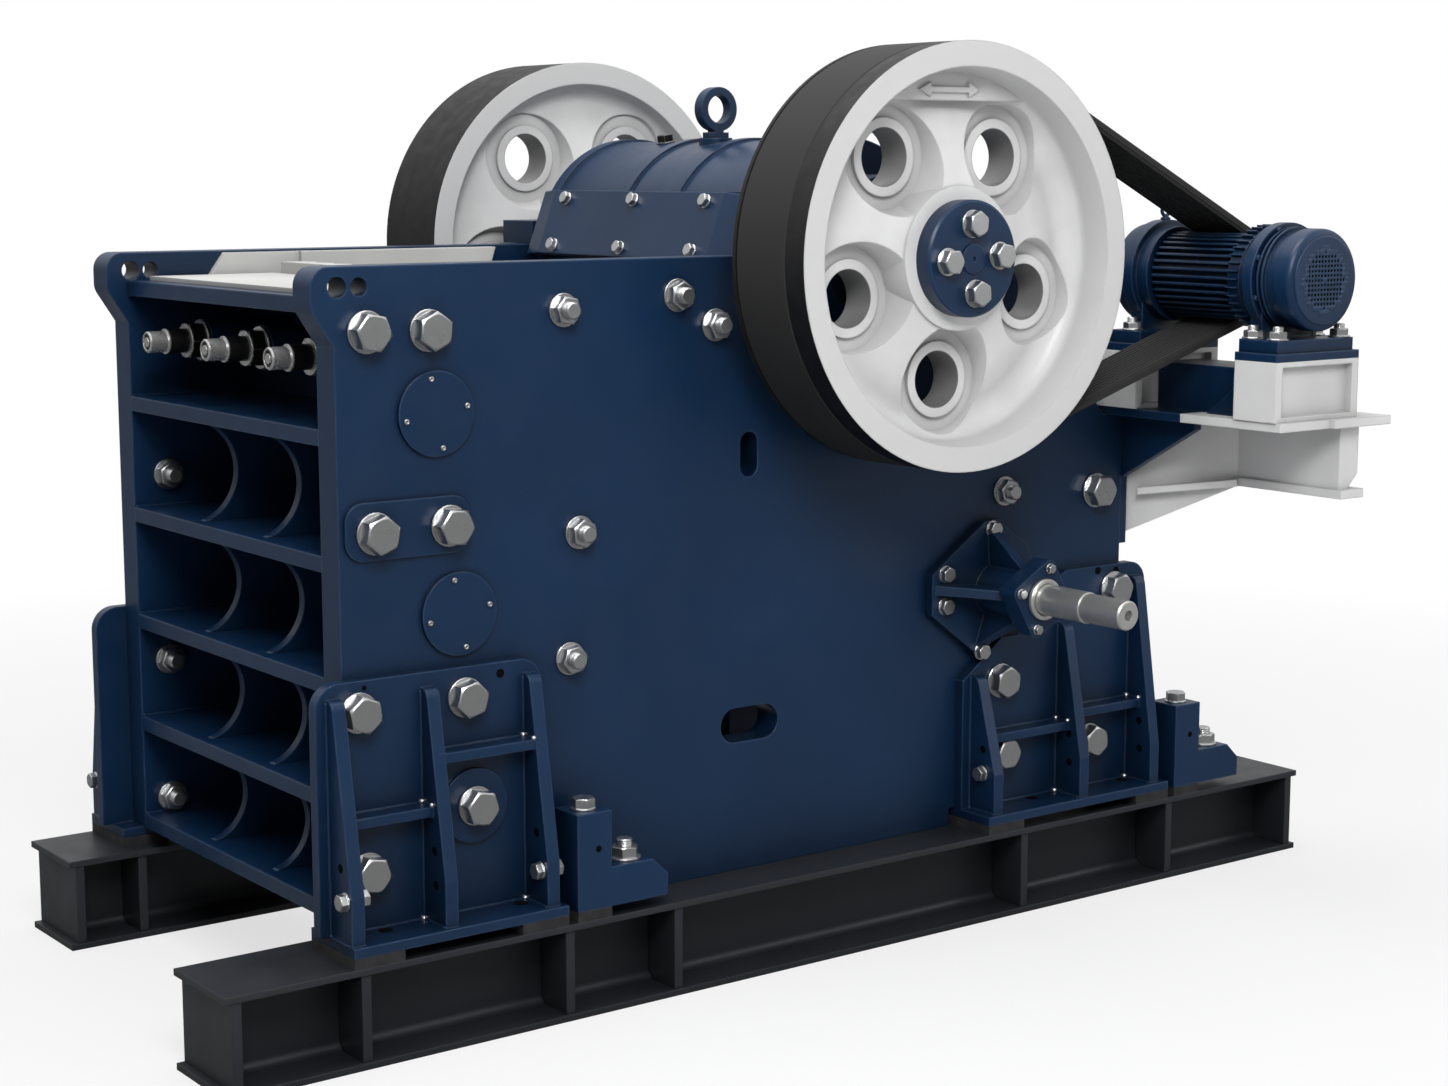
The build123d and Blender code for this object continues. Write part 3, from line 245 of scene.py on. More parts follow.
def add(tree, kind, inputs=None, out=None, **settings):
    """Add a node with its settings, values and links; return it, or the output that is asked for."""
    node = tree.nodes.new(kind)
    for key, value in settings.items():
        setattr(node, key, value)
    feed(tree, node, inputs or {})
    return node if out is None else node.outputs[out]


def new_material(name):
    """An empty node material, its tree, its shader and its object coordinates."""
    material = bpy.data.materials.new(name)
    material.use_nodes = True
    tree = material.node_tree
    tree.nodes.clear()
    shader = add(tree, "ShaderNodeBsdfPrincipled")
    output = add(tree, "ShaderNodeOutputMaterial", {"Surface": shader.outputs["BSDF"]})
    output.is_active_output = True
    return material, tree, shader, add(tree, "ShaderNodeTexCoord", out="Object")


def toned(colour, share):
    """A colour made darker or lighter by a share."""
    return tuple(c * share for c in colour[:3]) + (1.0,)


def mottle(tree, place, grain, low, high, detail=3.0, start=0.3, end=0.7):
    """Value that wanders from low to high in patches about this many metres across."""
    patches = add(tree, NOISE, {"Vector": place, "Scale": 1.0 / grain, "Detail": detail}, "Fac")
    limits = {"Value": patches, "From Min": start, "From Max": end, "To Min": low, "To Max": high}
    return add(tree, RANGE, limits, "Result")


def two_tone(tree, place, grain, first, second, most=1.0, detail=3.0, start=0.3, end=0.7):
    """First colour that goes over to the second in patches about this many metres across."""
    share = mottle(tree, place, grain, 0.0, most, detail, start, end)
    return add(tree, MIX, {0: share, 6: first, 7: second}, 2, data_type="RGBA")


def relief(tree, shader, place, grain, detail, strength, depth, normal=None):
    """Raise a finish in grains about this many metres across, over a normal where one is given."""
    height = add(tree, NOISE, {"Vector": place, "Scale": 1.0 / grain, "Detail": detail}, "Fac")
    inputs = {"Height": height, "Strength": strength, "Distance": depth}
    if normal is not None:
        inputs["Normal"] = normal
    feed(tree, shader, {"Normal": add(tree, BUMP, inputs, 0)})


def rounded_edges(tree, radius):
    """Normal with rounded edges, and a mask that is 1 along them."""
    bevel = add(tree, "ShaderNodeBevel", {"Radius": radius}, "Normal", samples=3)
    flat = add(tree, "ShaderNodeNewGeometry", out="Normal")
    along = add(tree, VECTOR_MATH, {0: bevel, 1: flat}, "Value", operation="DOT_PRODUCT")
    limits = {"Value": along, "From Min": 0.72, "From Max": 0.98, "To Min": 1.0, "To Max": 0.0}
    return bevel, add(tree, RANGE, limits, "Result")


def painted_recess_shade(tree, colour, reach, least, alone=False):
    """Paint shade into a colour in recesses, down to the least share, by the piece alone or with its
    neighbours.
    """
    openness = add(
        tree, "ShaderNodeAmbientOcclusion", {"Distance": reach}, "AO", samples=3, only_local=alone)
    limits = {"Value": openness, "From Min": 0.25, "From Max": 0.95, "To Min": least, "To Max": 1.0}
    shade = add(tree, RANGE, limits, "Result")
    return add(tree, VECTOR_MATH, {0: colour, "Scale": shade}, "Vector", operation="SCALE")


def enamel(name, base, edge, rough, peel, dent, least=0.35):
    """Sprayed satin enamel: even colour, a soft orange peel, paler along the edges as paint worn thin and as
    a painted highlight, and painted shade in recesses.
    """
    material, tree, shader, place = new_material(name)
    normal, mask = rounded_edges(tree, 0.006)
    # Coats vary over half a metre, as a spray gun's passes do; the paler edges, partly worn paint and partly
    # a painted highlight, come in patches of 60 mm
    tone = two_tone(tree, place, 0.45, toned(base, 0.80), tuple(base))
    patchy = mottle(tree, place, 0.06, 0.35, 1.0)
    worn_and_highlit = add(tree, MATH, {0: mask, 1: patchy}, 0, operation="MULTIPLY")
    painted = add(tree, MIX, {0: worn_and_highlit, 6: tone, 7: tuple(edge)}, 2, data_type="RGBA")
    # The base colour carries painted shade in recesses
    feed(tree, shader, {
        "Base Color": painted_recess_shade(tree, painted, 0.22, least),
        "Roughness": mottle(tree, place, 0.09, rough - 0.05, rough + 0.06),
        "Specular IOR Level": 0.32,
        "Coat Weight": 0.05,
        "Coat Roughness": 0.25,
    })
    # Orange peel is 2 to 3 mm across and is drawn about five times coarser, so that it shows
    relief(tree, shader, place, peel, 2.0, dent, 0.002, normal)
    return material


def wheel_enamel(name, white, rim):
    """White enamel over sand-cast iron, with a dark coating on the running faces, grey bores and painted
    shade in its recesses.
    """
    material, tree, shader, place = new_material(name)
    normal = rounded_edges(tree, 0.006)[0]
    parts = add(tree, "ShaderNodeSeparateXYZ", {0: place}).outputs
    along = add(tree, MATH, {0: parts["X"], 1: AXIS_X}, 0, operation="SUBTRACT")
    up = add(tree, MATH, {0: parts["Z"], 1: AXIS_Z}, 0, operation="SUBTRACT")
    up_square = add(tree, MATH, {0: up, 1: up}, 0, operation="MULTIPLY")
    square = add(tree, MATH, {0: along, 1: along, 2: up_square}, 0, operation="MULTIPLY_ADD")

    # Running face: outside a radius, and between the rim's two edges
    outside = add(tree, MATH, {0: square, 1: TREAD_FROM ** 2}, 0, operation="GREATER_THAN")
    across = add(tree, MATH, {0: parts["Y"]}, 0, operation="ABSOLUTE")
    half = (WHEEL_HIGH.y - WHEEL_LOW.y) / 2
    band = {0: across, 1: WHEEL_FACE - half - 0.0007, 2: half - 0.0008}
    between = add(tree, MATH, band, 0, operation="COMPARE")
    on_tread = add(tree, MATH, {0: outside, 1: between}, 0, operation="MULTIPLY")

    # Bores: the square of the distance from the nearest hole's axis
    angle = add(tree, MATH, {0: up, 1: along}, 0, operation="ARCTAN2")
    from_below = add(tree, MATH, {0: angle, 1: math.pi / 2}, 0, operation="ADD")
    half_share = math.pi / WHEEL_HOLES
    lean = add(tree, MATH, {0: from_below, 1: half_share, 2: -half_share}, 0, operation="WRAP")
    leaning = add(tree, MATH, {0: lean}, 0, operation="COSINE")
    radius = add(tree, MATH, {0: square}, 0, operation="SQRT")
    towards = add(tree, MATH, {0: radius, 1: leaning}, 0, operation="MULTIPLY")
    nearing = {0: towards, 1: -2 * WHEEL_HOLE_PITCH, 2: square}
    from_hole = add(tree, MATH, nearing, 0, operation="MULTIPLY_ADD")
    bore = (WHEEL_HOLE + 0.001) ** 2 - WHEEL_HOLE_PITCH ** 2
    in_bore = add(tree, MATH, {0: from_hole, 1: bore}, 0, operation="LESS_THAN")

    # Colour: cloudy white, darker on the rim's face, painted shade in the recesses, grey bores, and a rubbed
    # black tread
    cloudy = two_tone(tree, place, 0.16, toned(white, 0.86), tuple(white), detail=5.0)
    limits = {"Value": square, "From Min": RIM_FACE_FROM ** 2, "From Max": RIM_FACE_WHOLE ** 2}
    on_rim = add(tree, RANGE, limits, "Result")
    rim_face_darker = add(tree, MIX, {0: on_rim, 6: cloudy, 7: toned(white, 0.80)}, 2, data_type="RGBA")
    # Painted shade in the wheel's own recesses
    shaded = painted_recess_shade(tree, rim_face_darker, 0.16, 0.50, True)
    bored = add(tree, MIX, {0: in_bore, 6: shaded, 7: linear("#7E7E7E")}, 2, data_type="RGBA")
    tread = two_tone(tree, place, 0.05, tuple(rim), toned(rim, 2.2), 0.5, 6.0, 0.5, 0.8)
    satin = mottle(tree, place, 0.07, 0.28, 0.38)
    matt = mottle(tree, place, 0.04, 0.50, 0.66)
    feed(tree, shader, {
        "Base Color": add(tree, MIX, {0: on_tread, 6: bored, 7: tread}, 2, data_type="RGBA"),
        "Roughness": add(tree, MIX, {0: on_tread, 2: satin, 3: matt}, 0, data_type="FLOAT"),
        "Specular IOR Level": 0.35,
    })
    # Moulding sand leaves grains of 1 mm; the skin's waviness of about 30 mm is what shows at this size
    relief(tree, shader, place, 0.03, 4.0, 0.22, 0.004, normal)
    return material


def bare_metal(name, colour, rough, grain, streak=(1.0, 1.0, 1.0), edge=None, dulling=0.85, metallic=1.0):
    """Bare or plated metal: machining marks as a stretched grain, and brighter corners, partly rubbed bright
    and partly a painted highlight.
    """
    material, tree, shader, place = new_material(name)
    normal, mask = rounded_edges(tree, 0.002)
    stretched = add(tree, "ShaderNodeMapping", {"Vector": place, "Scale": streak}, 0)
    marks = add(tree, NOISE, {"Vector": stretched, "Scale": 1.0 / grain, "Detail": 4.0}, "Fac")
    bright = add(tree, RANGE, {"Value": marks, "From Min": 0.3, "From Max": 0.7}, "Result")
    shine = {"Value": marks, "From Min": 0.3, "From Max": 0.7, "To Min": rough + 0.05, "To Max": rough - 0.04}
    tones = {0: bright, 6: toned(colour, dulling), 7: tuple(colour)}
    tone = add(tree, MIX, tones, 2, data_type="RGBA")
    # Corners lighter: partly rubbed metal, partly a painted highlight
    rubbed_and_highlit = {0: mask, 6: tone, 7: tuple(edge or colour)}
    scratches = {"Height": marks, "Normal": normal, "Strength": 0.05, "Distance": 0.001}
    feed(tree, shader, {
        "Base Color": add(tree, MIX, rubbed_and_highlit, 2, data_type="RGBA"),
        "Roughness": add(tree, RANGE, shine, "Result"),
        "Normal": add(tree, BUMP, scratches, 0),
        "Metallic": metallic,
    })
    return material


def belt_rubber(name, colour):
    """Moulded rubber: nearly black and matt, with a dusty bloom in patches of 50 mm."""
    material, tree, shader, place = new_material(name)
    feed(tree, shader, {
        "Base Color": two_tone(tree, place, 0.05, tuple(colour), toned(colour, 1.5), 0.7, 6.0, 0.45, 0.75),
        "Roughness": mottle(tree, place, 0.02, 0.78, 0.92),
        "Specular IOR Level": 0.05,
    })
    # The mould's texture is under 1 mm and is drawn at 6 mm, so that it shows
    relief(tree, shader, place, 0.006, 3.0, 0.12, 0.001)
    return material


def cast_iron(name, colour, gloss=0.4):
    """Rough dark iron: mill scale in blotches of 30 mm over a grainy skin."""
    material, tree, shader, place = new_material(name)
    feed(tree, shader, {
        "Base Color": two_tone(tree, place, 0.03, tuple(colour), toned(colour, 2.0), 1.0, 6.0, 0.4, 0.7),
        "Roughness": mottle(tree, place, 0.012, 0.55, 0.75),
        "Specular IOR Level": gloss,
    })
    # Grains of 1 to 2 mm, drawn at 8 mm, so that they show
    relief(tree, shader, place, 0.008, 3.0, 0.25, 0.001)
    return material


def finish(name):
    """A finish by its name, made the first time it is asked for."""
    if name in bpy.data.materials:
        return bpy.data.materials[name]
    paint = colours()
    white_edge_wear_highlight = linear("#ECECEA")
    skid_edge_wear_highlight = linear("#3C3F43")
    primer = linear("#CECECB")
    makers = {
        # Sprayed on plate: deep even blue, a soft satin glint, paler lines along the edges as worn paint and
        # painted highlight, and painted shade in recesses
        "navy_satin_enamel": lambda n: enamel(
            n, paint.navy, paint.navy_edge_wear_highlight, rough=0.36, peel=0.014, dent=0.05),
        # The same paint in white: clean faces, with painted shade that greys them gently in the corners
        "white_satin_enamel": lambda n: enamel(
            n, paint.white, white_edge_wear_highlight, rough=0.42, peel=0.014, dent=0.05, least=0.62),
        # White over a wavy casting, with grey bores, painted shade in its recesses and a black running face
        "white_cast_wheel_enamel": lambda n: wheel_enamel(n, paint.white, paint.rim),
        # Thick paint on rolled beams: nearly black, duller and more uneven than the frame's
        "grey_skid_enamel": lambda n: enamel(n, paint.skid, skid_edge_wear_highlight, rough=0.46, peel=0.012, dent=0.07),
        # Brushed on wear plates: chalky off-white without gloss
        "white_liner_primer": lambda n: enamel(
            n, primer, white_edge_wear_highlight, rough=0.60, peel=0.02, dent=0.15, least=0.62),
        # Turned about the cross axis: fine rings, drawn 2 mm apart so that they show, and a broad soft glint
        "turned_steel": lambda n: bare_metal(
            n, paint.steel, rough=0.34, grain=0.030, streak=(0.5, 14.0, 0.5), metallic=0.78),
        # Ground ends and rings: small bright faces with a faint mottle
        "ground_bright_steel": lambda n: bare_metal(
            n, linear("#C6C6C4"), rough=0.28, grain=0.02, metallic=0.8),
        # Electroplated heads and nuts: bright silver grey with a painted highlight on the corners
        "zinc_plated_steel": lambda n: bare_metal(
            n, paint.zinc, rough=0.30, grain=0.03, edge=linear("#F2F2EF"), dulling=0.92, metallic=0.95),
        # Blackened steel: dark, with corners rubbed bright and given a painted highlight
        "black_oxide_steel": lambda n: bare_metal(
            n, linear("#242425"), rough=0.36, grain=0.012, edge=linear("#C8C8C5"), metallic=0.7),
        # Moulded belt: flat black
        "belt_rubber": lambda n: belt_rubber(n, paint.rubber),
        # Packing plates: rough dark grey
        "dark_cast_iron": lambda n: cast_iron(n, linear("#1D1D1F")),
        # Depth of holes: as good as no light comes back
        "shadow_black_enamel": lambda n: cast_iron(n, linear("#050506"), gloss=0.05),
    }
    return makers[name](name)


SLOT_FINISH = {
    "navy_paint": "navy_satin_enamel",
    "white_paint": "white_satin_enamel",
    "grey_skid_paint": "grey_skid_enamel",
    "liner_steel": "white_liner_primer",
    "polished_steel": "turned_steel",
    "belt_rubber": "belt_rubber",
    "pad_steel": "dark_cast_iron",
    "black_oxide": "black_oxide_steel",
}
NODE_FINISH = {
    "near_flywheel": "white_cast_wheel_enamel",
    "far_flywheel": "white_cast_wheel_enamel",
    "feed_lip": "white_liner_primer",
}


def place_piece(mesh, name, body, finish_name, sharp=25.0):
    """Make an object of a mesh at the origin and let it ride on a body."""
    mesh.name = name
    if not mesh.materials:
        mesh.materials.append(finish(finish_name))
    mesh.shade_smooth()
    mesh.set_sharp_from_angle(angle=math.radians(sharp))
    piece = bpy.data.objects.new(name, mesh)
    bpy.context.scene.collection.objects.link(piece)
    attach(piece, body)
    return piece


def mesh_of(bm, name):
    """Close a bmesh into a mesh with outward faces."""
    bmesh.ops.remove_doubles(bm, verts=bm.verts, dist=1e-6)
    bmesh.ops.recalc_face_normals(bm, faces=bm.faces)
    mesh = bpy.data.meshes.new(name)
    bm.to_mesh(mesh)
    bm.free()
    return mesh


def frame_matrix(origin, facing):
    """Matrix that puts local Z along facing at an origin."""
    rotation = Vector(facing).to_track_quat("Z", "Y").to_matrix().to_4x4()
    return Matrix.Translation(origin) @ rotation


def bridge(bm, rings, closed):
    """Join rings of vertices with faces; a ring of one vertex is a pole."""
    pairs = list(zip(rings, rings[1:]))
    if closed:
        pairs.append((rings[-1], rings[0]))
    for low, high in pairs:
        count = max(len(low), len(high))
        for step in range(count):
            after = (step + 1) % count
            below = [low[step % len(low)], low[after % len(low)]]
            above = [high[after % len(high)], high[step % len(high)]]
            corners = list(dict.fromkeys(below + above))
            if len(corners) > 2:
                bm.faces.new(corners)


def lathe(bm, profile, segments, matrix=Matrix(), closed=False):
    """Turn a profile of (radius, height) about local Z."""
    angles = [2 * math.pi * step / segments for step in range(segments)]
    rings = []
    for radius, height in profile:
        ring = [Vector((radius * math.cos(a), radius * math.sin(a), height)) for a in angles]
        if radius == 0:
            ring = [Vector((0, 0, height))]
        rings.append([bm.verts.new(matrix @ point) for point in ring])
    bridge(bm, rings, closed)


def prism(bm, outline, depth, matrix=Matrix()):
    """Extrude a flat outline along local Z."""
    rings = [[bm.verts.new(matrix @ Vector((x, y, z))) for x, y in outline] for z in (0, depth)]
    bridge(bm, rings, False)
    bm.faces.new(rings[0])
    bm.faces.new(rings[1])


def hexagon(bm, base, height):
    """Chamfered hexagon of unit width across flats, standing on local Z = base."""
    segments = 24
    chamfer = math.tan(math.radians(36))
    face_share = 0.92
    face_most = 0.495
    low, high, crown = [], [], []
    for step in range(segments):
        angle = 2 * math.pi * step / segments
        within = (angle + math.pi / 6) % (math.pi / 3) - math.pi / 6
        radius = 0.5 / math.cos(within)
        way = Vector((math.cos(angle), math.sin(angle), 0))
        low.append(bm.verts.new(way * radius + Vector((0, 0, base))))
        face = min(radius * face_share, face_most)
        drop = (radius - face) * chamfer
        high.append(bm.verts.new(way * radius + Vector((0, 0, base + height - drop))))
        crown.append(bm.verts.new(way * face + Vector((0, 0, base + height))))
    top = bm.verts.new((0, 0, base + height))
    foot = bm.verts.new((0, 0, base))
    bridge(bm, [[foot], low, high, crown, [top]], False)


def washer(bm, radius, thick):
    """Washer with broken edges, on local Z = 0."""
    edge = 0.02
    inner = radius - edge
    lathe(bm, ((0, 0), (inner, 0), (radius, edge), (radius, thick - edge), (inner, thick), (0, thick)), 24)


def bolt_template():
    """Hexagon bolt head on a washer, one unit across flats."""
    bm = bmesh.new()
    washer(bm, 0.62, 0.09)
    hexagon(bm, 0.09, 0.48)
    return bm


def nut_template():
    """Nut on a washer with the end of its stud, one unit across flats."""
    bm = bmesh.new()
    washer(bm, 0.66, 0.10)
    hexagon(bm, 0.10, 0.42)
    root = 0.31
    crest = 0.335
    stud = [(0, 0.50)]
    for thread in range(3):
        level = 0.52 + thread * 0.09
        stud.extend(((root, level), (crest, level + 0.03), (crest, level + 0.06)))
    stud.extend(((0.28, 0.82), (0, 0.82)))
    lathe(bm, stud, 20)
    return bm


def screw_template():
    """Low round screw head with a socket, one unit across."""
    bm = bmesh.new()
    lathe(bm, ((0, 0), (0.5, 0), (0.5, 0.18), (0.42, 0.30), (0.24, 0.34), (0.24, 0.16), (0, 0.16)), 14)
    return bm


def hole_template():
    """Mouth of a drilled hole with a countersunk edge, one unit across; the hole itself is a flat disc, black
    as painted shadow.
    """
    bm = bmesh.new()
    lathe(bm, ((0, 0), (0.5, 0), (0.5, 0.02), (0.42, 0.04), (0.40, 0.01), (0, 0.01)), 20)
    return bm


def stop_template():
    """Round end of a weld run, one unit across."""
    bm = bmesh.new()
    lathe(bm, ((0, -0.2), (0.44, -0.2), (0.5, 0), (0.44, 0.22), (0.26, 0.38), (0, 0.44)), 14)
    return bm


def node_tree(name, **inputs):
    """New geometry tree with named inputs of these kinds and one result, and its inputs."""
    tree = bpy.data.node_groups.new(name, "GeometryNodeTree")
    for key, kind in inputs.items():
        tree.interface.new_socket(key, in_out="INPUT", socket_type="NodeSocket" + kind)
    tree.interface.new_socket("Result", in_out="OUTPUT", socket_type="NodeSocketGeometry")
    return tree, add(tree, "NodeGroupInput").outputs


def close_tree(tree, shape, material):
    """End a geometry tree: real meshes, painted and handed out."""
    real = add(tree, "GeometryNodeRealizeInstances", {"Geometry": shape}, 0)
    painted = add(tree, "GeometryNodeSetMaterial", {"Geometry": real, "Material": material}, 0)
    add(tree, "NodeGroupOutput", {"Result": painted})
    return tree


def run_nodes(tree, mesh, inputs):
    """Run a node tree on a mesh and return the plain mesh that it makes."""
    carrier = bpy.data.objects.new("carrier", mesh)
    bpy.context.scene.collection.objects.link(carrier)
    modifier = carrier.modifiers.new("nodes", "NODES")
    modifier.node_group = tree
    for item in tree.interface.items_tree:
        if item.in_out == "INPUT" and item.name in inputs:
            modifier[item.identifier] = inputs[item.name]
    evaluated = carrier.evaluated_get(bpy.context.evaluated_depsgraph_get())
    result = bpy.data.meshes.new_from_object(evaluated)
    carrier.modifiers.remove(modifier)
    bpy.data.objects.remove(carrier)
    return result


def helper(bm, name):
    """Object of a shape that a node tree repeats, to be removed afterwards."""
    shape = bpy.data.objects.new(name, mesh_of(bm, name))
    bpy.context.scene.collection.objects.link(shape)
    return shape


def fastener_tree():
    """Node tree that sets a fastener on each point, by the point's facing, width and turn."""
    tree, source = node_tree("set_fasteners", Points="Geometry", Fastener="Object", Finish="Material")
    shape = add(tree, "GeometryNodeObjectInfo", {"Object": source["Fastener"]}, "Geometry")
    facing = add(tree, ATTRIBUTE, {"Name": "facing"}, "Attribute", data_type="FLOAT_VECTOR")
    width = add(tree, ATTRIBUTE, {"Name": "width"}, "Attribute", data_type="FLOAT")
    turn = add(tree, ATTRIBUTE, {"Name": "turn"}, "Attribute", data_type="FLOAT")
    aimed = add(tree, "FunctionNodeAlignRotationToVector", {"Vector": facing}, 0, axis="Z")
    spun = add(tree, "FunctionNodeAxisAngleToRotation", {"Axis": (0, 0, 1), "Angle": turn}, 0)
    both = {"Rotation": aimed, "Rotate By": spun}
    rotation = add(tree, "FunctionNodeRotateRotation", both, 0, rotation_space="LOCAL")
    spots = {"Points": source["Points"], "Instance": shape, "Rotation": rotation, "Scale": width}
    return close_tree(tree, add(tree, ON_POINTS, spots, 0), source["Finish"])


def set_fasteners(name, body, template, rows, finish_name="zinc_plated_steel"):
    """Set one kind of fastener at rows of (place, facing, width), as one piece."""
    first_turn = 0.35
    next_turn = 0.61
    shape = helper(template(), "fastener")
    points = bpy.data.meshes.new("points")
    points.from_pydata([place for place, facing, width in rows], [], [])
    for key, kind in (("facing", "FLOAT_VECTOR"), ("width", "FLOAT"), ("turn", "FLOAT")):
        points.attributes.new(key, kind, "POINT")
    for index, (place, facing, width) in enumerate(rows):
        points.attributes["facing"].data[index].vector = facing
        points.attributes["width"].data[index].value = width
        points.attributes["turn"].data[index].value = first_turn + next_turn * index
    tree = bpy.data.node_groups.get("set_fasteners") or fastener_tree()
    mesh = run_nodes(tree, points, {"Fastener": shape, "Finish": finish(finish_name)})
    bpy.data.objects.remove(shape)
    return place_piece(mesh, name, body, finish_name)


def on_side(side, spots, depth):
    """Places outside a side plate, from (distance, height) and the depth that they stand on."""
    return [Vector((FRONT + x, side * (PLATE_OUT + depth), z)) for x, z in spots]


def both_sides(spots, depth, width):
    """Fastener rows for the same spots on both sides, facing outwards."""
    return [(place, (0, side, 0), width) for side in SIDES for place in on_side(side, spots, depth)]


def around(centre, radius, angles):
    """Spots on a circle in the plane of a side, angles in degrees."""
    turns = [math.radians(angle) for angle in angles]
    return [(centre[0] + radius * math.cos(a), centre[1] + radius * math.sin(a)) for a in turns]


class CRUSHER_OT_finishes(bpy.types.Operator):
    """Give every solid of the crusher its finish"""

    bl_idname = "crusher.finishes"
    bl_label = "Finishes"

    def execute(self, context):
        for part in frame["record"]["subparts"]:
            node = NODES[part["node"]]
            name = NODE_FINISH.get(part["node"], SLOT_FINISH[part["material_slot"]])
            node.data.materials.clear()
            node.data.materials.append(finish(name))
        return {"FINISHED"}


class CRUSHER_OT_bolts(bpy.types.Operator):
    """Set the hexagon bolts of the frame, the feet, the brackets and the clamps"""

    bl_idname = "crusher.bolts"
    bl_label = "Bolts"

    def execute(self, context):
        large = sizes().bolt
        small = sizes().small_bolt
        foot_bolt = large * FOOT_BOLT_SHARE
        rows = both_sides(PLATE_BOLTS, 0, large) + both_sides(PAD_BOLTS, COVER_PLATE, large)
        rows += both_sides(FRONT_FOOT_BOLTS + REAR_FOOT_BOLTS, FOOT_PLATE, foot_bolt)
        rows += both_sides((BOSS_BOLT,), FOOT_PLATE + FOOT_BOSS, foot_bolt)
        rows += both_sides(BRACKET_BOLTS, BRACKET_PLATE, small * BRACKET_BOLT_SHARE)
        flange = around((ROD_X - FRONT, ROD_Z), FLANGE_RING, FLANGE_ANGLES)
        rows += both_sides(flange, FLANGE_OUT - PLATE_OUT, small * FLANGE_SCREW_SHARE)
        back, height = CLAMP_BOLT
        for side in SIDES:
            for start in CLAMP_STARTS:
                place = Vector((FRONT + start + back, side * CLAMP_LINE, height))
                rows.append((place, (0, 0, 1), small * CLAMP_BOLT_SHARE))
            for x, y, z in RIB_BOLTS:
                rows.append((Vector((FRONT + x, side * y, z)), (-1, 0, 0), small))
                rows.append((Vector((FRONT + x + RIB, side * y, z)), (1, 0, 0), small))
        set_fasteners("frame_bolts", "frame", bolt_template, rows)
        return {"FINISHED"}


class CRUSHER_OT_nuts(bpy.types.Operator):
    """Set the stud nuts of the side plates, the clamps and the motor's feet"""

    bl_idname = "crusher.nuts"
    bl_label = "Stud nuts"

    def execute(self, context):
        width = sizes().nut
        rows = both_sides(PLATE_NUTS, 0, width)
        inner = []
        back, height = CLAMP_STUD
        for side in SIDES:
            for x, z in INNER_NUTS:
                inner.append((Vector((FRONT + x, side * PLATE_IN, z)), (0, -side, 0), width))
            for start in CLAMP_STARTS:
                rows.append((Vector((FRONT + start + back, side * CLAMP_LINE, height)), (0, 0, 1), width))
        for x in MOTOR_STUD_X:
            for y in MOTOR_STUD_Y:
                place = Vector((MOTOR_X + x, y, MOTOR_Z - MOTOR_FOOT_DROP))
                rows.append((place, (0, 0, 1), width * MOTOR_STUD_SHARE))
        set_fasteners("frame_stud_nuts", "frame", nut_template, rows)
        set_fasteners("inner_stud_nuts", "frame", nut_template, inner)
        return {"FINISHED"}


class CRUSHER_OT_screws(bpy.types.Operator):
    """Set the small round screws of the covers"""

    bl_idname = "crusher.screws"
    bl_label = "Cover screws"

    def execute(self, context):
        spots = []
        for centre in ROUND_COVERS:
            spots += around(centre, COVER_RING, COVER_ANGLES)
        rows = both_sides(spots, COVER_PLATE, sizes().screw)
        set_fasteners("cover_screws", "frame", screw_template, rows)
        return {"FINISHED"}


class CRUSHER_OT_holes(bpy.types.Operator):
    """Set the holes drilled in the feet and the clamps, drawn as flat discs that are black as painted shadow
    for the holes' depth
    """

    bl_idname = "crusher.holes"
    bl_label = "Drilled holes"

    def execute(self, context):
        width = sizes().hole
        rows = both_sides(FOOT_PLATE_HOLES, FOOT_PLATE, width)
        rows += both_sides(SMALL_PLATE_HOLES, FOOT_PLATE, width * SMALL_HOLE_SHARE)
        back, height = CLAMP_HOLE
        clamp_spots = [(start + back, height) for start in CLAMP_STARTS]
        rows += both_sides(clamp_spots, CLAMP_FACE - PLATE_OUT, width * CLAMP_HOLE_SHARE)
        bolted = [spot[0] for spot in RIB_BOLTS]
        for side in SIDES:
            for x, y in FOOT_BASE_HOLES:
                place = Vector((FRONT + x, side * y, BASE_TOP))
                rows.append((place, (0, 0, 1), width * BASE_HOLE_SHARE))
            for x in RIB_FACES:
                for y, z in RIB_HOLES[:1] if x in bolted else RIB_HOLES:
                    rows.append((Vector((FRONT + x, side * y, z)), (-1, 0, 0), width))
        # Black discs: painted shadow for the holes' depth
        set_fasteners("foot_holes", "frame", hole_template, rows, "shadow_black_enamel")
        return {"FINISHED"}


def weld_tree():
    """Node tree that lays a rippled bead along every edge."""
    ripple = 0.012
    swelling = 0.0016
    tree, source = node_tree("weld_beads", Lines="Geometry", Radius="Float", Finish="Material")
    lines = add(tree, "GeometryNodeMeshToCurve", {"Mesh": source["Lines"]}, 0)
    step = add(tree, MATH, {0: source["Radius"], 1: 1.8}, 0, operation="MULTIPLY")
    path = add(tree, "GeometryNodeResampleCurve", {"Curve": lines, "Length": step}, 0, mode="LENGTH")
    ring = add(tree, "GeometryNodeCurvePrimitiveCircle", {"Resolution": 8, "Radius": source["Radius"]}, 0)
    tube = add(tree, "GeometryNodeCurveToMesh", {"Curve": path, "Profile Curve": ring, "Fill Caps": True}, 0)
    where = add(tree, "GeometryNodeInputPosition", out=0)
    swell = mottle(tree, where, ripple, -swelling, swelling)
    outward = add(tree, "GeometryNodeInputNormal", out=0)
    push = add(tree, VECTOR_MATH, {0: outward, "Scale": swell}, "Vector", operation="SCALE")
    bead = add(tree, "GeometryNodeSetPosition", {"Geometry": tube, "Offset": push}, 0)
    return close_tree(tree, bead, source["Finish"])


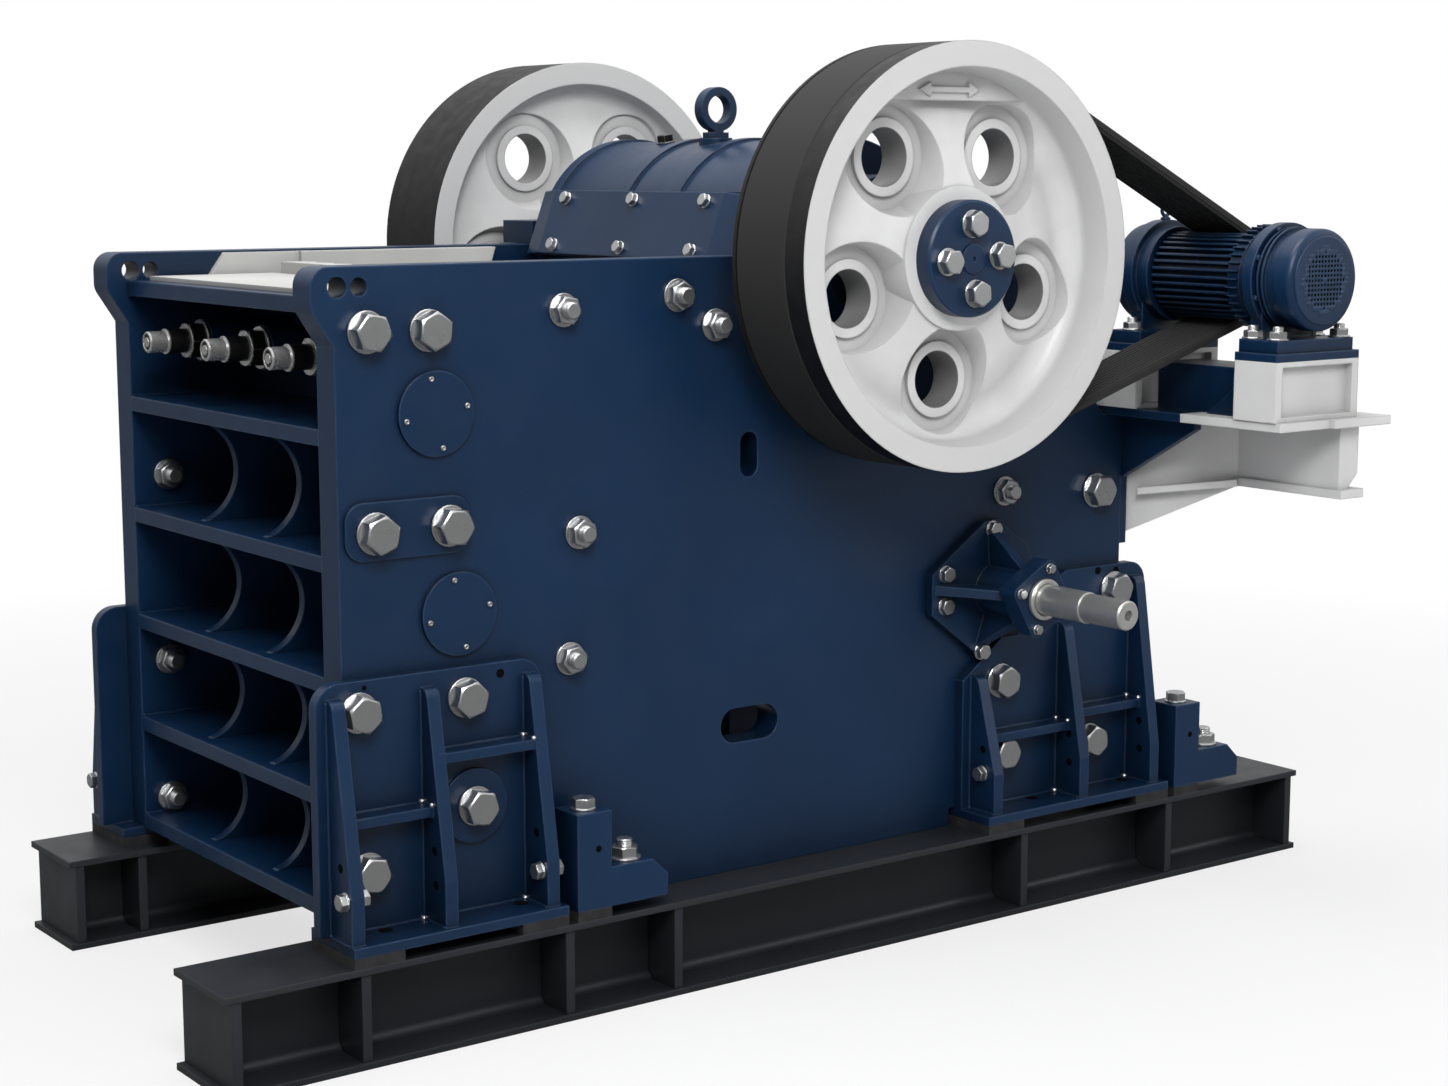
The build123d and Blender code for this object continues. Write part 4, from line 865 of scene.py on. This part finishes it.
def foot_seams(side):
    """Corners of the feet on one side, as pairs of ends that stop short of the plates' edges."""
    root = side * (PLATE_OUT + FOOT_PLATE)
    rib_end = side * (RIB_EDGE - 0.003)
    shelf_end = side * (BAY_SHELF_EDGE - 0.002)
    short = 0.006
    seams = []
    for start, height in zip(RIB_FACES, RIB_HEIGHTS):
        for x in (FRONT + start, FRONT + start + RIB):
            seams.append(((x, root, BASE_TOP), (x, root, BASE_TOP + height - short)))
            seams.append(((x, root, BASE_TOP), (x, rib_end, BASE_TOP)))
    for bay, height in BAY_SHELVES:
        left = FRONT + RIB_FACES[bay] + RIB
        right = FRONT + RIB_FACES[bay + 1]
        seams.append(((left, root, BASE_TOP), (right, root, BASE_TOP)))
        top = BASE_TOP + height
        for z in (top, top - BAY_SHELF_PLATE):
            seams.append(((left, root, z), (right, root, z)))
            for x in (left, right):
                seams.append(((x, root, z), (x, shelf_end, z)))
    return seams


def box_seams():
    """Corners between the front box's shelves and the side plates, as pairs of ends."""
    low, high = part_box("front_shelves")
    first = low.z + SHELF_PLATE
    mean = (high.z - first) / POCKETS
    tops = [first]
    for pocket in range(POCKETS):
        tops.append(tops[-1] + mean + (pocket - (POCKETS - 1) / 2) * POCKET_GROWTH)
    seams = []
    for side in SIDES:
        y = side * PLATE_IN
        for z in tops[:-1] + [top - SHELF_PLATE for top in tops[1:]]:
            seams.append(((low.x + 0.003, y, z), (high.x, y, z)))
    return seams


class CRUSHER_OT_welds(bpy.types.Operator):
    """Lay the weld beads of the feet and of the front box"""

    bl_idname = "crusher.welds"
    bl_label = "Weld beads"

    def execute(self, context):
        seams = foot_seams(NEAR) + foot_seams(FAR) + box_seams()
        ends = [end for seam in seams for end in seam]
        edges = [(2 * number, 2 * number + 1) for number in range(len(seams))]
        lines = bpy.data.meshes.new("seams")
        lines.from_pydata(ends, edges, [])
        inputs = {"Radius": sizes().weld, "Finish": finish("navy_satin_enamel")}
        mesh = run_nodes(weld_tree(), lines, inputs)
        place_piece(mesh, "weld_beads", "frame", "navy_satin_enamel", 60.0)
        return {"FINISHED"}


class CRUSHER_OT_weld_end_highlights(bpy.types.Operator):
    """Set small zinc domes on the ends of the weld runs in the corners of the feet, bright as a painted
    highlight
    """

    bl_idname = "crusher.weld_stops"
    bl_label = "Weld stops"

    def execute(self, context):
        width = sizes().weld * 2.6
        inset = sizes().weld * 0.6
        slant = 0.58
        rows = []
        for side in SIDES:
            root = side * (PLATE_OUT + FOOT_PLATE + inset)
            edge = side * (BAY_SHELF_EDGE - inset)
            facing = (-slant, side * slant, slant)
            for bay, height in BAY_SHELVES:
                x = FRONT + RIB_FACES[bay + 1] - inset
                for y, level in ((root, 0), (root, height), (edge, height)):
                    rows.append((Vector((x, y, BASE_TOP + level + inset)), facing, width))
        # Zinc, not navy paint, makes the weld ends a painted highlight
        set_fasteners("weld_stops", "frame", stop_template, rows)
        return {"FINISHED"}


class CRUSHER_OT_jaw_bolts(bpy.types.Operator):
    """Make the bright tips and edge rings of the fixed die's bolts"""

    bl_idname = "crusher.jaw_bolts"
    bl_label = "Die bolt tips"

    def execute(self, context):
        low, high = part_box("jaw_fixing_bolts")
        height = (low.z + high.z) / 2
        bm = bmesh.new()
        tip = (
            (0.0, 0.004), (0.012, 0.004), (0.013, -0.003), (0.020, -0.003), (0.021, 0.003), (0.0245, 0.003),
            (0.0272, 0.0), (0.0272, -0.046), (0.0, -0.046))
        # Edge rings, as (place along the bolt, inner radius, outer radius)
        rings = ((-0.047, 0.0272, 0.0325), (-0.104, 0.031, 0.0440), (-0.144, 0.040, 0.0530))
        for y in DIE_BOLT_SPOTS:
            spot = frame_matrix((low.x, y, height), (-1, 0, 0))
            lathe(bm, tip, 32, spot)
            for start, inner, outer in rings:
                ring = (
                    (inner, start - 0.003), (outer, start - 0.003), (outer, start + 0.001),
                    (outer - 0.001, start + 0.002), (inner, start + 0.002))
                lathe(bm, ring, 40, spot, True)
        mesh = mesh_of(bm, "jaw_bolt_tips")
        place_piece(mesh, "jaw_bolt_tips", "frame", "ground_bright_steel")
        return {"FINISHED"}


class CRUSHER_OT_wheel_bolts(bpy.types.Operator):
    """Set the hub bolts, the hub's centre discs and the rotation arrows of the wheels"""

    bl_idname = "crusher.wheel_bolts"
    bl_label = "Wheel bolts and arrows"

    def execute(self, context):
        low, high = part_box("hub_covers")
        faces = ((NEAR, low.y), (FAR, high.y))
        rows = []
        for side, face in faces:
            for x, z in around((AXIS_X, AXIS_Z), HUB_RING, HUB_ANGLES):
                rows.append((Vector((x, face, z)), (0, side, 0), HUB_BOLT))
        set_fasteners("hub_bolts", "rotor", bolt_template, rows)
        discs = bmesh.new()
        arrows = bmesh.new()
        disc = ((0.006, -0.004), (0.036, -0.004), (0.038, 0.004), (0.006, 0.004))
        tip, head, wide, shaft = 0.100, 0.062, 0.018, 0.007
        arrow = (
            (-tip, 0), (-head, wide), (-head, shaft), (head, shaft), (head, wide),
            (tip, 0), (head, -wide), (head, -shaft), (-head, -shaft), (-head, -wide))
        pad_radius = 0.4565
        pad_depth = WHEEL_FACE - 0.084
        pad = around((0, 0), pad_radius, range(58, 123, 4))
        for side, face in faces:
            spot = frame_matrix((AXIS_X, face, AXIS_Z), (0, side, 0))
            lathe(discs, disc, 40, spot, True)
            turned = Matrix.Rotation(math.radians(90 * -side), 4, "X")
            place = Vector((AXIS_X, side * pad_depth, AXIS_Z))
            prism(arrows, pad, 0.004, Matrix.Translation(place) @ turned)
            place += Vector((-0.015, side * 0.003, 0.413))
            prism(arrows, arrow, 0.008, Matrix.Translation(place) @ turned)
        place_piece(mesh_of(discs, "hub_discs"), "hub_discs", "rotor", "navy_satin_enamel")
        place_piece(mesh_of(arrows, "arrows"), "wheel_arrows", "rotor", "white_satin_enamel")
        return {"FINISHED"}


class CRUSHER_OT_pitman_fittings(bpy.types.Operator):
    """Set the bolts of the pitman's guard and the plugs on its barrel"""

    bl_idname = "crusher.pitman_fittings"
    bl_label = "Pitman fittings"

    def execute(self, context):
        foot = Vector((AXIS_X - 0.381, 0, AXIS_Z - THROW))
        head = Vector((AXIS_X - 0.316, 0, AXIS_Z + 0.160))
        up = (head - foot).normalized()
        out = Vector((-up.z, 0, up.x))
        rows = []
        for share in (0.13, 0.86):
            for y in (-0.33, 0.0, 0.33):
                place = foot.lerp(head, share) + Vector((0, y, 0))
                rows.append((place, out, sizes().small_bolt * GUARD_BOLT_SHARE))
        set_fasteners("guard_bolts", "pitman", bolt_template, rows)
        lean = math.radians(-9.0)
        way = Vector((math.sin(lean), 0, math.cos(lean)))
        plugs = []
        for y in (0.24, -0.30):
            plugs.append((Vector((AXIS_X, y, AXIS_Z - THROW)) + way * BARREL, way, BARREL_PLUG))
        set_fasteners("barrel_plugs", "pitman", bolt_template, plugs, "black_oxide_steel")
        return {"FINISHED"}


class CRUSHER_OT_belt(bpy.types.Operator):
    """Make the ribbed drive belt round the wheel and the drum"""

    bl_idname = "crusher.belt"
    bl_label = "Drive belt"

    def execute(self, context):
        low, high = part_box("drive_belt")
        big = AXIS_X - low.x
        little = high.x - MOTOR_X
        thick = 0.025
        soft = 0.003
        wheel_steps = 120
        drum_steps = 32
        gap = Vector((MOTOR_X - AXIS_X, MOTOR_Z - AXIS_Z))
        along = math.atan2(gap.y, gap.x)
        lap = math.acos((big - little) / gap.length)
        stations = []
        for step in range(wheel_steps + 1):
            angle = along + lap + (2 * math.pi - 2 * lap) * step / wheel_steps
            stations.append((AXIS_X, AXIS_Z, big, angle))
        for step in range(drum_steps + 1):
            angle = along - lap + 2 * lap * step / drum_steps
            stations.append((MOTOR_X, MOTOR_Z, little, angle))
        ribs = sizes().belt_ribs
        valley = thick - sizes().rib_depth
        pitch = (high.y - low.y) / ribs
        profile = [(low.y + soft, 0), (high.y - soft, 0), (high.y, soft), (high.y, valley)]
        for rib in range(ribs):
            start = high.y - rib * pitch
            for share, level in ((0.22, thick), (0.68, thick), (0.90, valley)):
                profile.append((start - share * pitch, level))
        profile += [(low.y, valley), (low.y, soft)]
        bm = bmesh.new()
        rings = []
        for x, z, radius, angle in stations:
            rings.append([
                bm.verts.new((x + (radius - d) * math.cos(angle), y, z + (radius - d) * math.sin(angle)))
                for y, d in profile])
        bridge(bm, rings, True)
        belt = place_piece(mesh_of(bm, "belt"), "ribbed_belt", "frame", "belt_rubber")
        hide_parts("drive_belt")
        return {"FINISHED"}


class CRUSHER_OT_collars(bpy.types.Operator):
    """Make the bright collars where the setting rods leave their brackets"""

    bl_idname = "crusher.collars"
    bl_label = "Rod collars"

    def execute(self, context):
        outer = sizes().collar
        inner = (ROD_HIGH.x - ROD_LOW.x) / 2 + 0.001
        height = 0.014
        edge = 0.003
        profile = (
            (inner, 0), (outer - 0.002, 0), (outer, 0.002), (outer, height - edge), (outer - edge, height),
            (inner + edge, height), (inner, height - edge))
        bm = bmesh.new()
        for side in SIDES:
            lathe(bm, profile, 48, frame_matrix((ROD_X, side * FLANGE_OUT, ROD_Z), (0, side, 0)), True)
        place_piece(mesh_of(bm, "collars"), "rod_collars", "frame", "turned_steel")
        return {"FINISHED"}


def grille_tree():
    """Node tree that fills a disc with perforated cells on a square grid, plain at its border and middle."""
    tree, source = node_tree(
        "perforate_disc", Points="Geometry", Cell="Object", Plain="Object", Radius="Float", Pitch="Float",
        Finish="Material")
    radius = source["Radius"]
    pitch = source["Pitch"]
    edge = add(tree, MATH, {0: radius, 1: pitch}, 0, operation="ADD")
    size = add(tree, MATH, {0: edge, 1: 2.0}, 0, operation="MULTIPLY")
    share = add(tree, MATH, {0: size, 1: pitch}, 0, operation="DIVIDE")
    count = add(tree, MATH, {0: share}, 0, operation="ROUND")
    span = add(tree, MATH, {0: count, 1: pitch}, 0, operation="MULTIPLY")
    corners = add(tree, MATH, {0: count, 1: 1.0}, 0, operation="ADD")
    square = {"Size X": span, "Size Y": span, "Vertices X": corners, "Vertices Y": corners}
    grid = add(tree, "GeometryNodeMeshGrid", square, "Mesh")
    place = add(tree, "GeometryNodeInputPosition", out=0)
    reach = add(tree, VECTOR_MATH, {0: place}, "Value", operation="LENGTH")
    beyond = {"data_type": "FLOAT", "operation": "GREATER_THAN"}
    outside = add(tree, COMPARE, {"A": reach, "B": edge}, 0, **beyond)
    border = add(tree, COMPARE, {"A": reach, "B": radius}, 0, **beyond)
    middle = add(tree, COMPARE, {"A": pitch, "B": reach}, 0, **beyond)
    disc = add(tree, "GeometryNodeDeleteGeometry", {"Geometry": grid, "Selection": outside}, 0)
    unholed = add(tree, "FunctionNodeBooleanMath", {0: border, 1: middle}, 0, operation="OR")
    holed = add(tree, "FunctionNodeBooleanMath", {0: unholed}, 0, operation="NOT")
    joined = add(tree, "GeometryNodeJoinGeometry")
    for shape, chosen in (("Cell", holed), ("Plain", unholed)):
        cell = add(tree, "GeometryNodeObjectInfo", {"Object": source[shape]}, "Geometry")
        spots = {"Points": disc, "Selection": chosen, "Instance": cell, "Scale": pitch}
        feed(tree, joined, {0: add(tree, ON_POINTS, spots, 0)})
    real = add(tree, "GeometryNodeRealizeInstances", {"Geometry": joined.outputs[0]}, 0)
    whole = add(tree, "GeometryNodeMergeByDistance", {"Geometry": real, "Distance": 0.0001}, 0)
    return close_tree(tree, whole, source["Finish"])


def plain_template():
    """Square cell of a plate without a hole, one unit wide."""
    bm = bmesh.new()
    prism(bm, ((-0.5, -0.5), (0.5, -0.5), (0.5, 0.5), (-0.5, 0.5)), 0.25)
    return bm


def cell_template():
    """Square cell of a perforated plate with a round hole through it, one unit wide."""
    bm = bmesh.new()
    sides = 16
    hole_radius = 0.35
    rings = []
    for level in (0.0, 0.25):
        square, hole = [], []
        for step in range(sides):
            angle = 2 * math.pi * step / sides
            reach = 0.5 / max(abs(math.cos(angle)), abs(math.sin(angle)))
            way = Vector((math.cos(angle), math.sin(angle), 0))
            square.append(bm.verts.new(way * reach + Vector((0, 0, level))))
            hole.append(bm.verts.new(way * hole_radius + Vector((0, 0, level))))
        rings.append((square, hole))
    (low_square, low_hole), (high_square, high_hole) = rings
    bridge(bm, [low_square, low_hole, high_hole, high_square], False)
    return bm


class CRUSHER_OT_grille(bpy.types.Operator):
    """Make the perforated grille on the end of the motor's cowl"""

    bl_idname = "crusher.grille"
    bl_label = "Cowl grille"

    def execute(self, context):
        radius = sizes().grille_radius
        pitch = sizes().grille_pitch
        inputs = {"Radius": radius, "Pitch": pitch, "Finish": finish("navy_satin_enamel")}
        for key, template in (("Cell", cell_template), ("Plain", plain_template)):
            inputs[key] = helper(template(), key)
        mesh = run_nodes(grille_tree(), bpy.data.meshes.new("start"), inputs)
        for key in ("Cell", "Plain"):
            bpy.data.objects.remove(inputs[key])
        mesh.transform(frame_matrix((MOTOR_X, COWL_LOW.y - 0.001, MOTOR_Z), FACING_OUT))
        place_piece(mesh, "cowl_grille", "frame", "navy_satin_enamel")
        # A black disc behind the perforations is painted shadow for the dark inside of the cowl
        face = frame_matrix((MOTOR_X, COWL_LOW.y, MOTOR_Z), FACING_OUT)
        behind = 0.0009
        bm = bmesh.new()
        lathe(bm, ((0, 0), (radius, 0), (radius, behind), (0, behind)), 48, face)
        place_piece(mesh_of(bm, "shadow_disc"), "grille_backing", "frame", "shadow_black_enamel")
        ring = bmesh.new()
        outer = (COWL_HIGH.x - COWL_LOW.x) / 2 - 0.017
        level = 0.0006 + pitch * 0.25
        profile = ((radius, 0), (outer, 0), (outer, level - 0.002), (outer - 0.003, level), (radius, level))
        lathe(ring, profile, 64, face, True)
        place_piece(mesh_of(ring, "ring"), "grille_ring", "frame", "navy_satin_enamel")
        return {"FINISHED"}


def ring_tree():
    """Node tree that sets a shape round a circle and turns it outwards."""
    tree, source = node_tree(
        "ring_of_fins", Points="Geometry", Shape="Object", Count="Int", Radius="Float", Finish="Material")
    size = {"Vertices": source["Count"], "Radius": source["Radius"]}
    circle = add(tree, "GeometryNodeMeshCircle", size, "Mesh")
    step = add(tree, MATH, {0: 2 * math.pi, 1: source["Count"]}, 0, operation="DIVIDE")
    index = add(tree, "GeometryNodeInputIndex", out=0)
    angle = add(tree, MATH, {0: index, 1: step}, 0, operation="MULTIPLY")
    turned = add(tree, "FunctionNodeAxisAngleToRotation", {"Axis": (0, 0, 1), "Angle": angle}, 0)
    shape = add(tree, "GeometryNodeObjectInfo", {"Object": source["Shape"]}, "Geometry")
    spots = {"Points": circle, "Instance": shape, "Rotation": turned}
    return close_tree(tree, add(tree, ON_POINTS, spots, 0), source["Finish"])


class CRUSHER_OT_motor_fittings(bpy.types.Operator):
    """Make the fins, the flange bolts and the small eye of the motor"""

    bl_idname = "crusher.motor_fittings"
    bl_label = "Motor fittings"

    def execute(self, context):
        shield = COWL_HIGH.y + 0.137
        fin_length = 0.038
        fin = bmesh.new()
        prism(fin, ((-0.001, -0.002), (0.010, -0.0015), (0.010, 0.0015), (-0.001, 0.002)), fin_length)
        shape = helper(fin, "fin")
        inputs = {
            "Shape": shape, "Count": sizes().shield_fins, "Radius": 0.134,
            "Finish": finish("navy_satin_enamel")}
        mesh = run_nodes(ring_tree(), bpy.data.meshes.new("start"), inputs)
        bpy.data.objects.remove(shape)
        mesh.transform(frame_matrix((MOTOR_X, shield, MOTOR_Z), FACING_OUT))
        place_piece(mesh, "shield_fins", "frame", "navy_satin_enamel")
        rows = []
        for x, z in around((MOTOR_X, MOTOR_Z), SHIELD_RING, SHIELD_ANGLES):
            rows.append((Vector((x, shield - 0.097, z)), FACING_OUT, SHIELD_BOLT))
        set_fasteners("flange_bolts", "frame", bolt_template, rows, "navy_satin_enamel")
        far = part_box("motor_shields")[1].y - 0.060
        eye = bmesh.new()
        seat = ((0, 0), (0.014, 0), (0.014, 0.006), (0.008, 0.010), (0, 0.010))
        lathe(eye, seat, 20, frame_matrix((MOTOR_X, far, MOTOR_Z + 0.149), (0, 0, 1)))
        bar = 0.005
        loop = around((0.015, 0), bar, range(0, 360, 36))
        lathe(eye, loop, 28, frame_matrix((MOTOR_X, far, MOTOR_Z + 0.176), (0, 1, 0)), True)
        place_piece(mesh_of(eye, "eye"), "motor_eye", "frame", "navy_satin_enamel")
        return {"FINISHED"}


class CRUSHER_OT_stage(bpy.types.Operator):
    """Make the floor, the lamps, the world and the camera"""

    bl_idname = "crusher.stage"
    bl_label = "Stage"

    def execute(self, context):
        floor = bpy.data.meshes.new("floor")
        reach = 60.0
        corners = [(-reach, -reach, 0), (reach, -reach, 0), (reach, reach, 0), (-reach, reach, 0)]
        floor.from_pydata(corners, [], [(0, 1, 2, 3)])
        ground = bpy.data.objects.new("floor", floor)
        context.scene.collection.objects.link(ground)
        floor.materials.append(self.floor_material())
        self.world(context)
        self.lamp("key", (-3.4, -6.0, 6.0), 3.0, 425.0)
        self.lamp("fill", (6.0, -5.0, 3.5), 4.0, 60.0)
        self.lamp("top", (-0.5, 0.0, 7.0), 4.0, 240.0)
        lens = bpy.data.cameras.new("camera")
        lens.lens = 62.19
        lens.sensor_width = 36.0
        lens.sensor_fit = "HORIZONTAL"
        camera = bpy.data.objects.new("camera", lens)
        camera.location = (-4.014, -5.626, 2.045)
        camera.rotation_euler = (math.radians(81.399), 0, math.radians(-36.601))
        context.scene.collection.objects.link(camera)
        context.scene.camera = camera
        context.scene.view_settings.view_transform = "Standard"
        return {"FINISHED"}

    def floor_material(self):
        """White floor that keeps a soft shadow and goes over to plain white further out."""
        material = bpy.data.materials.new("white_studio_floor")
        material.use_nodes = True
        tree = material.node_tree
        tree.nodes.clear()
        white = (1, 1, 1, 1)
        matt = add(tree, "ShaderNodeBsdfDiffuse", {"Color": (0.86, 0.86, 0.86, 1)}, 0)
        glow = add(tree, "ShaderNodeEmission", {"Color": white, "Strength": 1.0}, 0)
        mirrored = add(tree, "ShaderNodeEmission", {"Color": white, "Strength": 0.25}, 0)
        ray = add(tree, "ShaderNodeLightPath").outputs
        ground = add(tree, "ShaderNodeMixShader", {0: ray["Is Glossy Ray"], 1: matt, 2: mirrored}, 0)
        place = add(tree, "ShaderNodeTexCoord", out="Object")
        away = add(tree, VECTOR_MATH, {0: place}, "Value", operation="LENGTH")
        limits = {"Value": away, "From Min": 2.2, "From Max": 6.0, "To Min": 0.70, "To Max": 1.0}
        level = add(tree, RANGE, limits, "Result")
        share = add(tree, MATH, {0: ray["Is Camera Ray"], 1: level}, 0, operation="MULTIPLY")
        mix = add(tree, "ShaderNodeMixShader", {0: share, 1: ground, 2: glow}, 0)
        add(tree, "ShaderNodeOutputMaterial", {"Surface": mix})
        return material

    def world(self, context):
        """Soft light from all round, seen as white, and brighter overhead in reflections."""
        world = bpy.data.worlds.new("studio")
        world.use_nodes = True
        tree = world.node_tree
        tree.nodes.clear()
        around_light = 0.26
        ray = add(tree, "ShaderNodeLightPath").outputs
        way = add(tree, "ShaderNodeTexCoord", out="Generated")
        up = add(tree, "ShaderNodeSeparateXYZ", {0: way}, "Z")
        limits = {"Value": up, "From Min": -0.05, "From Max": 0.65, "To Min": 0.22, "To Max": 1.15}
        mirrored = add(tree, RANGE, limits, "Result")
        lights = {0: ray["Is Glossy Ray"], 2: around_light, 3: mirrored}
        shaded = add(tree, MIX, lights, 0, data_type="FLOAT")
        seen = {0: ray["Is Camera Ray"], 2: shaded, 3: 1.0}
        strength = add(tree, MIX, seen, 0, data_type="FLOAT")
        sky = add(tree, "ShaderNodeBackground", {"Color": (1, 1, 1, 1), "Strength": strength}, 0)
        add(tree, "ShaderNodeOutputWorld", {"Surface": sky})
        context.scene.world = world

    def lamp(self, name, place, size, power):
        """Square soft box aimed at the middle of the crusher."""
        light = bpy.data.lights.new(name, "AREA")
        light.size = size
        light.energy = power
        lamp = bpy.data.objects.new(name, light)
        lamp.location = place
        aim = Vector((0, 0, 1.1)) - Vector(place)
        lamp.rotation_euler = aim.to_track_quat("-Z", "Y").to_euler()
        bpy.context.scene.collection.objects.link(lamp)


STEPS = (
    CRUSHER_OT_finishes,
    CRUSHER_OT_bolts,
    CRUSHER_OT_nuts,
    CRUSHER_OT_screws,
    CRUSHER_OT_holes,
    CRUSHER_OT_welds,
    CRUSHER_OT_weld_end_highlights,
    CRUSHER_OT_jaw_bolts,
    CRUSHER_OT_wheel_bolts,
    CRUSHER_OT_pitman_fittings,
    CRUSHER_OT_belt,
    CRUSHER_OT_collars,
    CRUSHER_OT_grille,
    CRUSHER_OT_motor_fittings,
    CRUSHER_OT_stage,
)


class CRUSHER_PT_panel(bpy.types.Panel):
    """Lists the crusher's colours, sizes and steps"""

    bl_idname = "CRUSHER_PT_panel"
    bl_label = "Jaw crusher"
    bl_space_type = "VIEW_3D"
    bl_region_type = "UI"
    bl_category = "Crusher"

    def draw(self, context):
        layout = self.layout
        for group in (context.scene.crusher_colours, context.scene.crusher_sizes):
            for key in group.__annotations__:
                layout.prop(group, key)
        for step in STEPS:
            layout.operator(step.bl_idname)


CLASSES = (CrusherColours, CrusherSizes, *STEPS, CRUSHER_PT_panel)


def register():
    """Register the classes and their settings."""
    for item in CLASSES:
        bpy.utils.register_class(item)
    bpy.types.Scene.crusher_colours = PointerProperty(type=CrusherColours)
    bpy.types.Scene.crusher_sizes = PointerProperty(type=CrusherSizes)


def unregister():
    """Remove the classes and their settings."""
    del bpy.types.Scene.crusher_sizes
    del bpy.types.Scene.crusher_colours
    for item in reversed(CLASSES):
        bpy.utils.unregister_class(item)


def main():
    """Dress the crusher."""
    register()
    for step in STEPS:
        group, name = step.bl_idname.split(".")
        getattr(getattr(bpy.ops, group), name)()


if __name__ == "__main__":
    main()
